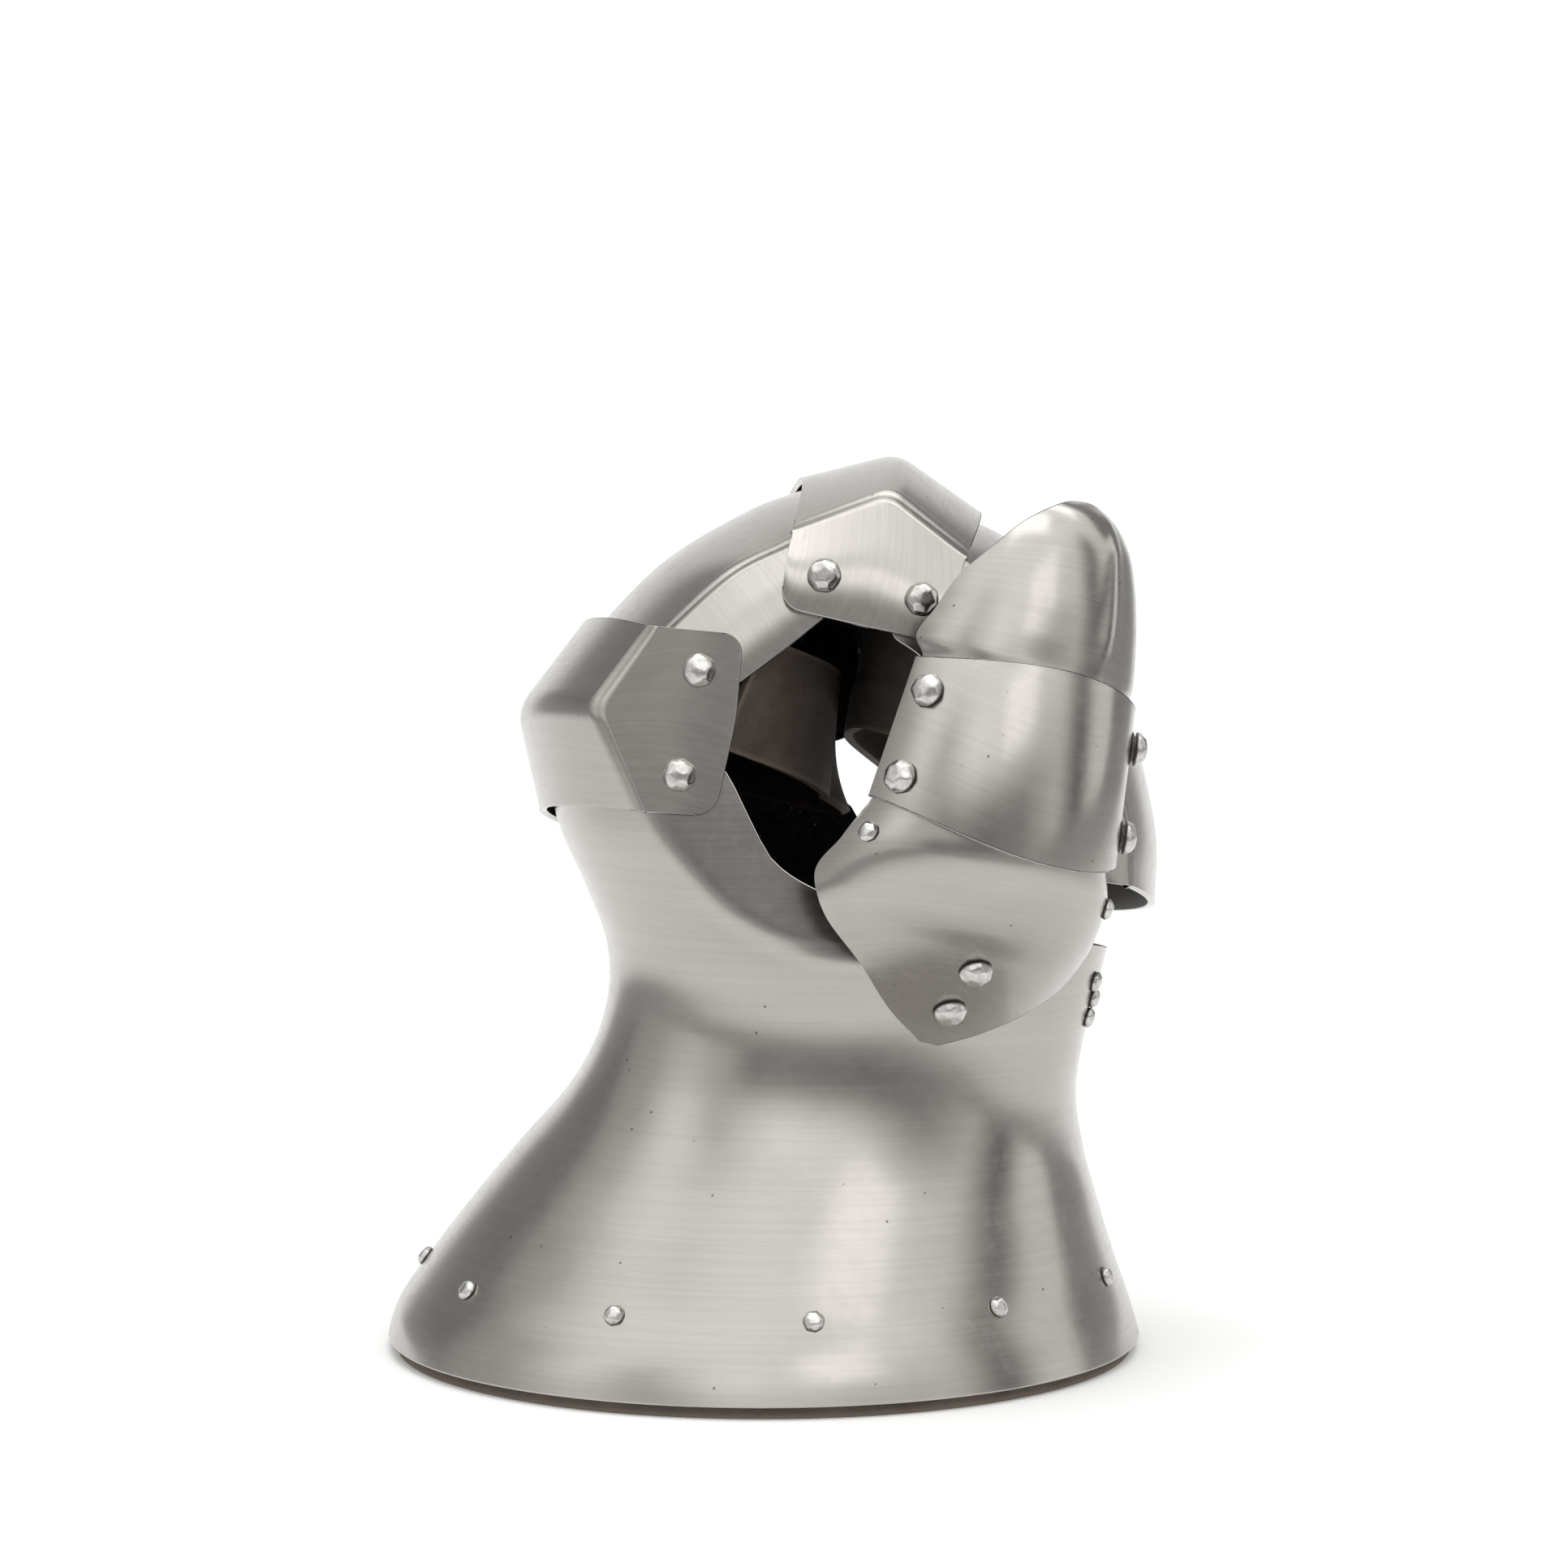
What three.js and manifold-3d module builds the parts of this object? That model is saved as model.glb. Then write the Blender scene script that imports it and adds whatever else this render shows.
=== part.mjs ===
// Left-hand hourglass mitten gauntlet, closed to a loose fist and standing on its cuff.
// Millimetres, +Z up. The back of the hand faces -X, the palm +X and the thumb -Y.

import * as THREE from 'three';
import * as BufferGeometryUtils from 'three/addons/utils/BufferGeometryUtils.js';
import Module from 'manifold-3d';

const wasm = await Module();
wasm.setup();

// Sheet thicknesses and clearances
const STEEL = 1.5;
const LEATHER = 2;
const CLOTH = 1.2;
const GAP = 0.4;

// The hourglass body: where each level of the closed shell meets the back, palm, near and far sides.
// The power squares the oval towards the hand, and the turn is its twist in degrees.
const BODY_LEVELS = [
  { z: 0, back: -78.2, palm: 77.4, near: -78, far: 78, power: 2, turn: 0 },
  { z: 9, back: -75.6, palm: 74.8, near: -74.5, far: 74.5, power: 2, turn: 0 },
  { z: 19, back: -68.8, palm: 71.4, near: -68, far: 67, power: 2, turn: 0 },
  { z: 30, back: -60.4, palm: 68, near: -61.5, far: 59.5, power: 2.05, turn: 0 },
  { z: 42, back: -50.4, palm: 64.8, near: -55, far: 52, power: 2.1, turn: 0 },
  { z: 53, back: -40.8, palm: 63.3, near: -50.5, far: 44.5, power: 2.2, turn: 0.5 },
  { z: 63, back: -35, palm: 64.4, near: -48.2, far: 40.5, power: 2.3, turn: 1.5 },
  { z: 73, back: -32.2, palm: 66.8, near: -48, far: 43, power: 2.4, turn: 3 },
  { z: 83, back: -32.6, palm: 69.2, near: -50.4, far: 51.5, power: 2.4, turn: 4.5 },
  { z: 95, back: -37, palm: 70.5, near: -56.8, far: 60, power: 2.3, turn: 5.5 },
  { z: 108, back: -42.6, palm: 71, near: -62, far: 66.5, power: 2.2, turn: 5.5 },
  { z: 124, back: -45, palm: 71, near: -66.5, far: 67.5, power: 2.1, turn: 5.5 },
];
const RIM_HEIGHT = 2.5;
const BODY_COLUMNS = 40;
const BODY_ROWS = 12;
const WAIST = { z: 66, share: 0.5 };
const TOP_SEARCH = { low: 63, high: 124, halvings: 30 };
const CREASE_SOFTNESS = 3;

// The hand opening's edge in the mitten's own frame: height against distance from back to palm
const OPENING_EDGE = [
  { x: -70, z: 11 },
  { x: -34, z: 11 },
  { x: -26, z: 8.6 },
  { x: -21.7, z: 4 },
  { x: -17.4, z: -4.9 },
  { x: -13.4, z: -12.4 },
  { x: -5.7, z: -18 },
  { x: 5, z: -22 },
  { x: 20, z: -26 },
  { x: 40, z: -28.4 },
  { x: 70, z: -29.4 },
];

// The mitten's frame: turned to show more of the back, and rolled so that the index side is higher
const MITTEN = { x: 10, y: 0, z: 110, yaw: 5.5, roll: 8.5 };
const KNUCKLE_HALF_WIDTH = 49;
const FINGER_HALF_WIDTH = KNUCKLE_HALF_WIDTH - STEEL - GAP;
const CROWN_HALF_ANGLE = 43;
const CROWN_SHARE = 0.62;

// Below its foot in the mitten's frame each flat side of the body opens out to the oval.
// The flat side ends where the wall turns to face the back or the palm.
const FLAT_SIDE = { foot: -29, opening: 0.06, leastFacing: 0.1 };

// Each mitten plate: crown top, crease and flange edge at stations along the fingers
const KNUCKLE_1 = [
  { apexX: -56, apexZ: 0.3, creaseX: -38.9, creaseZ: -3.3, edgeX: -24.4, edgeZ: -4.2 },
  { apexX: -60.4, apexZ: 21, creaseX: -48.2, creaseZ: 17.1, edgeX: -20, edgeZ: 14.5 },
  { apexX: -47, apexZ: 38.4, creaseX: -36.3, creaseZ: 32.8, edgeX: -18.4, edgeZ: 31 },
];
const FINGER_1 = [
  { apexX: -47.7, apexZ: 33.3, creaseX: -38.3, creaseZ: 27.6, edgeX: -27.6, edgeZ: 15.6 },
  { apexX: -31.6, apexZ: 49.8, creaseX: -21.4, creaseZ: 42.8, edgeX: -11.9, edgeZ: 27 },
  { apexX: -13.8, apexZ: 60.6, creaseX: -9.6, creaseZ: 48.9, edgeX: -1.6, edgeZ: 35 },
  { apexX: -1.5, apexZ: 65.2, creaseX: -1, creaseZ: 53.2, edgeX: 3.6, edgeZ: 39.6 },
];
const KNUCKLE_2 = [
  { apexX: -2.9, apexZ: 67.4, creaseX: -8.6, creaseZ: 52, edgeX: -11.4, edgeZ: 36.4 },
  { apexX: 16.8, apexZ: 72.1, creaseX: 10.5, creaseZ: 59.3, edgeX: 4.4, edgeZ: 32.6 },
  { apexX: 33.8, apexZ: 60.2, creaseX: 25.9, creaseZ: 46.8, edgeX: 19, edgeZ: 29.4 },
];
const FINGER_2 = [
  { apexX: 22, apexZ: 62.4, creaseX: 15.2, creaseZ: 52, edgeX: 9.6, edgeZ: 31.2 },
  { apexX: 40.3, apexZ: 54.4, creaseX: 31, creaseZ: 40, edgeX: 17, edgeZ: 26 },
  { apexX: 54.5, apexZ: 40.5, creaseX: 42, creaseZ: 27.5, edgeX: 27, edgeZ: 15 },
  { apexX: 63.5, apexZ: 19, creaseX: 51.5, creaseZ: 10, edgeX: 36, edgeZ: 1.5 },
  { apexX: 68.6, apexZ: -5, creaseX: 56.5, creaseZ: -5.5, edgeX: 43.5, edgeZ: -9 },
  { apexX: 68.2, apexZ: -21, creaseX: 57, creaseZ: -18.5, edgeX: 48, edgeZ: -17 },
];
const CORNER_RADIUS = 4;
const RIDGE_WIDTH = 0.16;

// Columns from the middle of a plate to its edge, and rows along each kind of plate
const CROWN_COLUMNS = [0, 0.2, 0.38, 0.52, 0.61, 0.63, 0.8, 1];
const RIDGED_ROWS = [0, 0.05, 0.16, 0.46, 0.5, 0.54, 0.84, 0.95, 1];
const FINGER_1_ROWS = [0, 0.06, 0.2, 0.4, 0.6, 0.8, 0.94, 1];
const FINGER_2_ROWS = [0, 0.04, 0.14, 0.28, 0.43, 0.58, 0.72, 0.86, 0.96, 1];
const FINGER_LINING_COLUMNS = [0.06, 0.14, 0.18, 0.22, 0.3, 0.4, 0.5, 0.6, 0.7, 0.78, 0.82, 0.86, 0.94];
const FINGER_LINING_ROWS = [0.1, 0.35, 0.6, 0.85];

// Finger pivots, where a rivet on each side goes through both flanges
const PIVOTS = {
  body_knuckle_1: { x: -31.3, z: 3.8 },
  knuckle_1_finger_1: { x: -27.2, z: 24.1 },
  finger_1_knuckle_2: { x: -2.5, z: 42.5 },
  knuckle_2_finger_2: { x: 16.5, z: 37.8 },
};

// The thumb's frame: its origin is the middle of the lower pivot line, +Z runs up the thumb
const THUMB = { x: 47.1, y: -62.8, z: 115.7, yaw: 27.7, lean: 15.5 };
const THUMB_RADIUS = 27.6;
const THUMB_TAPER = 0.115;
const THUMB_RIVET_ANGLE = 65;
const THUMB_PIVOT_SPACING = 17.2;
const THUMB_AXIS_DEPTH = THUMB_RADIUS * Math.cos(THREE.MathUtils.degToRad(THUMB_RIVET_ANGLE));
const THUMB_GRIP = 2 * STEEL + 1.8;

// Thumb plates: height of each station, depth of its crown, its radius and its two edges
const THUMB_BASE = [
  { z: -47.6, top: 17, radius: 42, left: 2.6, right: 6.4 },
  { z: -43, top: 12.3, radius: 41, left: -8, right: 14.6 },
  { z: -36, top: 4.3, radius: 38.5, left: -18.8, right: 22.8 },
  { z: -29, top: -3.3, radius: 36, left: -28, right: 27.6 },
  { z: -22, top: -10.4, radius: 33, left: -31.4, right: 28 },
  { z: -13, top: -14.8, radius: 30, left: -29.4, right: 28 },
  { z: -5, top: -14, radius: 26.4, left: -26, right: 24.8 },
  { z: 8, top: -12.6, radius: 24.3, left: -23, right: 23 },
];
const THUMB_TIP = [
  { z: 10.5, top: -11.8, radius: 23.5, left: -22.2, right: 22 },
  { z: 20, top: -11.1, radius: 22.8, left: -22.2, right: 21.8 },
  { z: 24, top: -10.6, radius: 22.8, left: -22.4, right: 21.8 },
  { z: 27.5, top: -10.2, radius: 25, left: -24.3, right: 21.8 },
  { z: 33, top: -9.9, radius: 24, left: -22.9, right: 21.4 },
  { z: 41, top: -8.8, radius: 21.8, left: -20.2, right: 19.8 },
  { z: 48.8, top: -6.6, radius: 19.3, left: -15.6, right: 17.2 },
  { z: 53.6, top: -4.5, radius: 17.1, left: -11.9, right: 15.4 },
  { z: 58, top: -1.2, radius: 13.5, left: -6.2, right: 12 },
  { z: 60.8, top: 2.6, radius: 9.5, left: -0.5, right: 7 },
];
const THUMB_MID_EDGES = { lower: -9.9, lowerRise: 5.4, upper: 27.1, upperDrop: 3.7 };
const THUMB_MID_WRAP = { left: -79, right: 72 };
const STEEPEST_WALL = 0.985;
const THUMB_COLUMNS = { base: 10, mid: 12, tip: 10 };
const THUMB_BASE_ROWS = [0, 0.07, 0.18, 0.32, 0.46, 0.62, 0.8, 1];
const THUMB_MID_ROWS = 3;
const THUMB_TIP_ROWS = [0, 0.19, 0.27, 0.34, 0.45, 0.6, 0.76, 0.86, 0.94, 1];

// Rivets: head radius and height, shank radius
const PIVOT_RIVET = { head: 3.3, height: 2.5, shank: 1.9, sides: 8 };
const SMALL_RIVET = { head: 2.1, height: 1.3, shank: 1.2, sides: 6 };
const BIG_RIVET = { head: 3.3, height: 2.4, shank: 1.6, sides: 8 };
const RIVET_SEAT = 0.25;
const RIVET_SHOULDER = { radius: 0.78, height: 0.72 };
const HOLE_CLEARANCE = 0.35;
const SHEET_DRILL = 8;
const THUMB_DRILL = 16;
const INNER_HEAD = { height: 1.2, base: 0.75, top: 0.6 };
const PIVOT_GRIP = 2 * STEEL + GAP + 0.55;
const RIGHT_NECK = 0.7;

const CUFF_RIVETS = { count: 11, first: -83, height: 17.5 };
const PALM_RIVETS = [
  { angle: -21, z: 77 },
  { angle: -17, z: 73.5 },
  { angle: -16, z: 69.5 },
];
const BAND_HEIGHT = 24;
const BAND_GAP = 0.95;
const BAND_ROWS = 2;
const LINING = { foot: 60, firstColumn: 9, lastColumn: 31, rows: 4, gap: 1.7 };
const LINING_CLEARANCE = 0.1;

// The flap of cloth that hangs inside the far flange of finger plate 1
const FLAP = [
  { x: -6, top: 40, foot: 26 },
  { x: 0, top: 43, foot: 20 },
  { x: 7, top: 44, foot: 17 },
  { x: 14, top: 41, foot: 19 },
];
const FLAP_GAP = 0.4;
const FLAP_STEPS = { across: 6, up: 3 };

// The lining's upper edge in the mitten's frame: below the opening on the near side, a flap on the far side
const LINING_NEAR = { belowEdge: 2, highest: -3 };
const LINING_FAR = [
  { x: -70, z: -3 },
  { x: -31, z: -3 },
  { x: -26, z: 4 },
  { x: -16, z: 8 },
  { x: 0, z: 7 },
  { x: 12, z: 4 },
  { x: 18, z: -10 },
  { x: 26, z: -28 },
  { x: 70, z: -31.5 },
];
const THUMB_HINGE = { from: -66, to: -52, foot: 68, outerFoot: 73, rise: 4.5, standoff: 1 };
const HINGE_FOLD = { start: 0.4, share: 0.2 };
const HINGE_COLUMNS = 4;
const HINGE_ROWS = [0, 0.2, 0.4, 0.45, 0.5, 0.55, 0.6, 0.8, 1];

// Leather loops across the mitten: the strap's two edges at the flanges and at its slack middle,
// how far its lower edge sags out on the far half, and how far its ends stop short of the flanges
const HAND_STRAP = {
  side: { topX: -14, topZ: 31, footX: -23.5, footZ: 9.5 },
  middle: { topX: 4.6, topZ: 26.6, footX: 1.4, footZ: 2.2 },
  sag: { x: 10, z: -3 },
  endGap: 1,
};
const FINGER_STRAP = {
  side: { topX: 21.5, topZ: 25.5, footX: 32.5, footZ: 3 },
  middle: { topX: 12.5, topZ: 38.5, footX: 8.2, footZ: 16 },
  sag: { x: 0, z: 0 },
  endGap: 0.25,
};
const STRAP_HALF_WIDTH = FINGER_HALF_WIDTH - STEEL - GAP;
const STRAP_SLACK_POWER = 2.4;
const STRAP_COLUMNS = 14;
const STRAP_ROWS = 3;
const STRAP_RIVET = { across: 0.5, along: 0.8375 };

const COLOURS = {
  steel: { color: 0xb9b8b4, roughness: 0.34, metalness: 1 },
  rivet: { color: 0xa9a8a5, roughness: 0.28, metalness: 1 },
  leather: { color: 0x2c211b, roughness: 0.75, metalness: 0 },
  cloth: { color: 0x100e10, roughness: 0.95, metalness: 0 },
};

const radians = THREE.MathUtils.degToRad;

// Smooth curve through one column of a table, read at a value of another column
function smoothColumn(table, key, column, at) {
  const last = table.length - 1;
  let i = 0;
  while (i < last - 1 && at > table[i + 1][key]) i += 1;
  const slope = (k) => {
    const a = table[Math.max(k - 1, 0)];
    const b = table[Math.min(k + 1, last)];
    return (b[column] - a[column]) / (b[key] - a[key]);
  };
  const [p, q] = [table[i], table[i + 1]];
  const step = q[key] - p[key];
  const t = (at - p[key]) / step;
  const [t2, t3] = [t * t, t * t * t];
  return p[column] * (2 * t3 - 3 * t2 + 1) + q[column] * (3 * t2 - 2 * t3)
    + slope(i) * step * (t3 - 2 * t2 + t) + slope(i + 1) * step * (t3 - t2);
}

// The lesser of two values, with the corner between them rounded over a width
function softMin(a, b, width) {
  const h = Math.max(width - Math.abs(a - b), 0) / width;
  return Math.min(a, b) - h * h * width / 4;
}

// A closed shell about a surface(u, v): offsets are along its outward normal
function sheet(surface, { us, vs, outer, inner, closed = false, level = false }) {
  const columns = us.length;
  const rows = vs.length;
  const positions = [];
  const step = 1e-3;
  const normalAt = (u, v) => {
    const along = surface(u + step, v).sub(surface(u - step, v));
    const up = surface(u, Math.min(v + step, 1)).sub(surface(u, Math.max(v - step, 0)));
    const normal = along.cross(up).normalize();
    if (!level) return normal;
    normal.z = 0;
    return normal.divideScalar(normal.lengthSq());
  };
  for (const offset of [outer, inner]) {
    for (const v of vs) {
      for (const u of us) positions.push(...surface(u, v).addScaledVector(normalAt(u, v), offset).toArray());
    }
  }
  const index = [];
  const quad = (a, b, c, d) => index.push(a, b, c, a, c, d);
  const at = (layer, i, j) => layer * columns * rows + j * columns + (i % columns);
  const spans = closed ? columns : columns - 1;
  for (let i = 0; i < spans; i += 1) {
    for (let j = 0; j < rows - 1; j += 1) {
      quad(at(0, i, j), at(0, i + 1, j), at(0, i + 1, j + 1), at(0, i, j + 1));
      quad(at(1, i, j), at(1, i, j + 1), at(1, i + 1, j + 1), at(1, i + 1, j));
    }
    quad(at(1, i, 0), at(1, i + 1, 0), at(0, i + 1, 0), at(0, i, 0));
    quad(at(0, i, rows - 1), at(0, i + 1, rows - 1), at(1, i + 1, rows - 1), at(1, i, rows - 1));
  }
  if (!closed) {
    for (let j = 0; j < rows - 1; j += 1) {
      const right = columns - 1;
      quad(at(0, 0, j), at(0, 0, j + 1), at(1, 0, j + 1), at(1, 0, j));
      quad(at(0, right, j), at(1, right, j), at(1, right, j + 1), at(0, right, j + 1));
    }
  }
  const geometry = new THREE.BufferGeometry();
  geometry.setAttribute('position', new THREE.Float32BufferAttribute(positions, 3));
  geometry.setIndex(index);
  return geometry;
}

// Even steps from 0 to 1, with or without the end
const steps = (count) => Array.from({ length: count + 1 }, (_, i) => i / count);
const ringSteps = (count) => Array.from({ length: count }, (_, i) => i / count);

function toSolid(geometry) {
  const bare = geometry.clone();
  bare.deleteAttribute('normal');
  bare.deleteAttribute('uv');
  const merged = BufferGeometryUtils.mergeVertices(bare, 1e-5);
  return new wasm.Manifold(new wasm.Mesh({
    numProp: 3,
    vertProperties: new Float32Array(merged.attributes.position.array),
    triVerts: new Uint32Array(merged.index.array),
  }));
}

function fromSolid(solid) {
  const mesh = solid.getMesh();
  const geometry = new THREE.BufferGeometry();
  geometry.setAttribute('position', new THREE.Float32BufferAttribute(mesh.vertProperties, 3));
  geometry.setIndex(Array.from(mesh.triVerts));
  return geometry;
}

// A geometry with round holes drilled through it
function drilled(geometry, holes) {
  let solid = toSolid(geometry);
  for (const hole of holes) solid = solid.subtract(toSolid(hole));
  return fromSolid(solid);
}

// A drill for one rivet: a cylinder about +Y, moved by a matrix
function drill(rivet, length, matrix) {
  const radius = rivet.shank + HOLE_CLEARANCE;
  return new THREE.CylinderGeometry(radius, radius, length, rivet.sides).applyMatrix4(matrix);
}

// A rivet about +Y with its seat at y = 0. The grip is what its shank goes through.
function rivetGeometry(rivet, { grip, innerHead = false, neck = 0 }) {
  const { head, height, shank, sides } = rivet;
  const seat = RIVET_SEAT + neck;
  const profile = [];
  const foot = -grip;
  if (innerHead) {
    const under = foot - RIVET_SEAT;
    const low = under - INNER_HEAD.height;
    profile.push([0, low], [head * INNER_HEAD.top, low], [head * INNER_HEAD.base, under], [shank, under]);
  } else {
    profile.push([0, foot], [shank, foot]);
  }
  const shoulder = [head * RIVET_SHOULDER.radius, seat + height * RIVET_SHOULDER.height];
  profile.push([shank, seat], [head, seat], shoulder, [0, seat + height]);
  return new THREE.LatheGeometry(profile.map(([r, y]) => new THREE.Vector2(r, y)), sides);
}

const gauntlet = new THREE.Group();

function addMesh(parent, name, geometry, look) {
  const mesh = new THREE.Mesh(geometry, new THREE.MeshStandardMaterial(COLOURS[look]));
  mesh.name = name;
  parent.add(mesh);
  return mesh;
}

// The turned frames of the mitten and the thumb
const mitten = new THREE.Group();
mitten.position.set(MITTEN.x, MITTEN.y, MITTEN.z);
mitten.rotation.set(-radians(MITTEN.roll), 0, radians(MITTEN.yaw), 'ZXY');
mitten.updateMatrix();
const toMitten = mitten.matrix.clone().invert();

const thumb = new THREE.Group();
thumb.position.set(THUMB.x, THUMB.y, THUMB.z);
thumb.rotation.set(0, radians(THUMB.lean), radians(THUMB.yaw), 'ZYX');
thumb.updateMatrix();
gauntlet.add(mitten, thumb);

// The matrix that stands a piece made about +Y on a point, along a direction
function standing(point, direction) {
  const turn = new THREE.Quaternion().setFromUnitVectors(new THREE.Vector3(0, 1, 0), direction);
  return new THREE.Matrix4().compose(point, turn, new THREE.Vector3(1, 1, 1));
}

// Hourglass body

function openingHeight(x) {
  return smoothColumn(OPENING_EDGE, 'x', 'z', x);
}

// A point on the body at an angle about its axis and a height: an oval, with flat sides at the hand
function bodyPoint(angle, z) {
  const read = (column) => smoothColumn(BODY_LEVELS, 'z', column, z);
  const [back, palm, near, far, power, turn] = ['back', 'palm', 'near', 'far', 'power', 'turn'].map(read);
  const centre = new THREE.Vector3((back + palm) / 2, (near + far) / 2, z);
  const direction = new THREE.Vector3(Math.cos(angle), Math.sin(angle), 0);
  const acrossX = Math.abs(2 * Math.cos(angle - radians(turn)) / (palm - back)) ** power;
  const acrossY = Math.abs(2 * Math.sin(angle - radians(turn)) / (far - near)) ** power;
  let radius = (acrossX + acrossY) ** (-1 / power);
  const local = centre.clone().applyMatrix4(toMitten);
  const turned = direction.clone().transformDirection(toMitten);
  if (Math.abs(turned.y) > FLAT_SIDE.leastFacing) {
    const reach = (Math.sign(turned.y) * FINGER_HALF_WIDTH - local.y) / turned.y;
    const below = Math.max(FLAT_SIDE.foot - local.z - turned.z * reach, 0);
    radius = softMin(radius, reach + FLAT_SIDE.opening * below ** 2, CREASE_SOFTNESS);
  }
  return centre.addScaledVector(direction, radius);
}

// The height at which the body, or a lining on it, ends at an angle
const openingEdge = (local) => openingHeight(local.x);
const liningEdge = (local) => {
  if (local.y > 0) return smoothColumn(LINING_FAR, 'x', 'z', local.x);
  return Math.min(openingHeight(local.x) - LINING_NEAR.belowEdge, LINING_NEAR.highest);
};
function bodyTop(angle, edge = openingEdge) {
  let { low, high } = TOP_SEARCH;
  for (let i = 0; i < TOP_SEARCH.halvings; i += 1) {
    const middle = (low + high) / 2;
    const local = bodyPoint(angle, middle).applyMatrix4(toMitten);
    if (local.z > edge(local)) high = middle;
    else low = middle;
  }
  return low;
}

// Level rows up to the waist, then rows that climb to the opening's edge
const bodySurface = (u, v) => {
  const angle = u * 2 * Math.PI;
  const { mapLinear } = THREE.MathUtils;
  if (v < WAIST.share) return bodyPoint(angle, mapLinear(v, 0, WAIST.share, RIM_HEIGHT, WAIST.z));
  return bodyPoint(angle, mapLinear(v, WAIST.share, 1, WAIST.z, bodyTop(angle)));
};

// A body point with the outward normal there
function bodyNormal(angle, z) {
  const step = 1e-3;
  const along = bodyPoint(angle + step, z).sub(bodyPoint(angle - step, z));
  const up = bodyPoint(angle, z + step).sub(bodyPoint(angle, z - step));
  return along.cross(up).normalize();
}

const cuffRivetPlaces = ringSteps(CUFF_RIVETS.count).map((share) => {
  const angle = radians(CUFF_RIVETS.first + 360 * share);
  return standing(bodyPoint(angle, CUFF_RIVETS.height), bodyNormal(angle, CUFF_RIVETS.height));
});
const palmRivetPlaces = PALM_RIVETS.map(({ angle, z }) => {
  return standing(bodyPoint(radians(angle), z), bodyNormal(radians(angle), z));
});

// A drill through both flanges at a finger pivot, in the mitten's frame
function pivotDrill({ x, z }) {
  const place = new THREE.Matrix4().makeTranslation(x, 0, z);
  return drill(PIVOT_RIVET, 2 * KNUCKLE_HALF_WIDTH + SHEET_DRILL, place);
}

const bodyShell = sheet(bodySurface, {
  us: ringSteps(BODY_COLUMNS), vs: steps(BODY_ROWS), outer: 0, inner: -STEEL, closed: true,
});
const smallRivetPlaces = [...cuffRivetPlaces, ...palmRivetPlaces];
const bodyHoles = smallRivetPlaces.map((place) => drill(SMALL_RIVET, SHEET_DRILL, place));
bodyHoles.push(pivotDrill(PIVOTS.body_knuckle_1).applyMatrix4(mitten.matrix));
addMesh(gauntlet, 'hourglass_body', drilled(bodyShell, bodyHoles), 'steel');

const bandOuter = -STEEL - BAND_GAP;
const bandSurface = (u, v) => bodyPoint(u * 2 * Math.PI, v * BAND_HEIGHT);
addMesh(gauntlet, 'cuff_band', sheet(bandSurface, {
  us: ringSteps(BODY_COLUMNS),
  vs: steps(BAND_ROWS),
  outer: bandOuter,
  inner: bandOuter - LEATHER,
  closed: true,
  level: true,
}), 'leather');

const liningSurface = (u, v) => {
  const column = THREE.MathUtils.lerp(LINING.firstColumn, LINING.lastColumn, u);
  const angle = column / BODY_COLUMNS * 2 * Math.PI;
  return bodyPoint(angle, THREE.MathUtils.lerp(LINING.foot, bodyTop(angle, liningEdge), v));
};
const liningOuter = -STEEL - LINING.gap;
addMesh(gauntlet, 'hand_lining', sheet(liningSurface, {
  us: steps(LINING.lastColumn - LINING.firstColumn),
  vs: steps(LINING.rows),
  outer: liningOuter,
  inner: liningOuter - CLOTH,
}), 'cloth');

cuffRivetPlaces.forEach((place, i) => {
  const rivet = rivetGeometry(SMALL_RIVET, { grip: STEEL });
  addMesh(gauntlet, `cuff_rivet_${i + 1}`, rivet, 'rivet').applyMatrix4(place);
});
palmRivetPlaces.forEach((place, i) => {
  const rivet = rivetGeometry(SMALL_RIVET, { grip: STEEL });
  addMesh(gauntlet, `palm_rivet_${i + 1}`, rivet, 'rivet').applyMatrix4(place);
});

// Mitten plates

// A row between a plate's stations: smooth through them, or straight with a narrow rounded ridge
function plateRow(stations, v, ridge) {
  const columns = ['apexX', 'apexZ', 'creaseX', 'creaseZ', 'edgeX', 'edgeZ'];
  const table = stations.map((station, i) => ({ ...station, v: i / (stations.length - 1) }));
  if (!ridge) return columns.map((column) => smoothColumn(table, 'v', column, v));
  const [foot, middle, head] = table;
  const bend = softMin(2 * v, 1, ridge);
  const rest = -softMin(1 - 2 * v, 0, ridge);
  return columns.map((column) => {
    return foot[column] + (middle[column] - foot[column]) * bend + (head[column] - middle[column]) * rest;
  });
}

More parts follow.
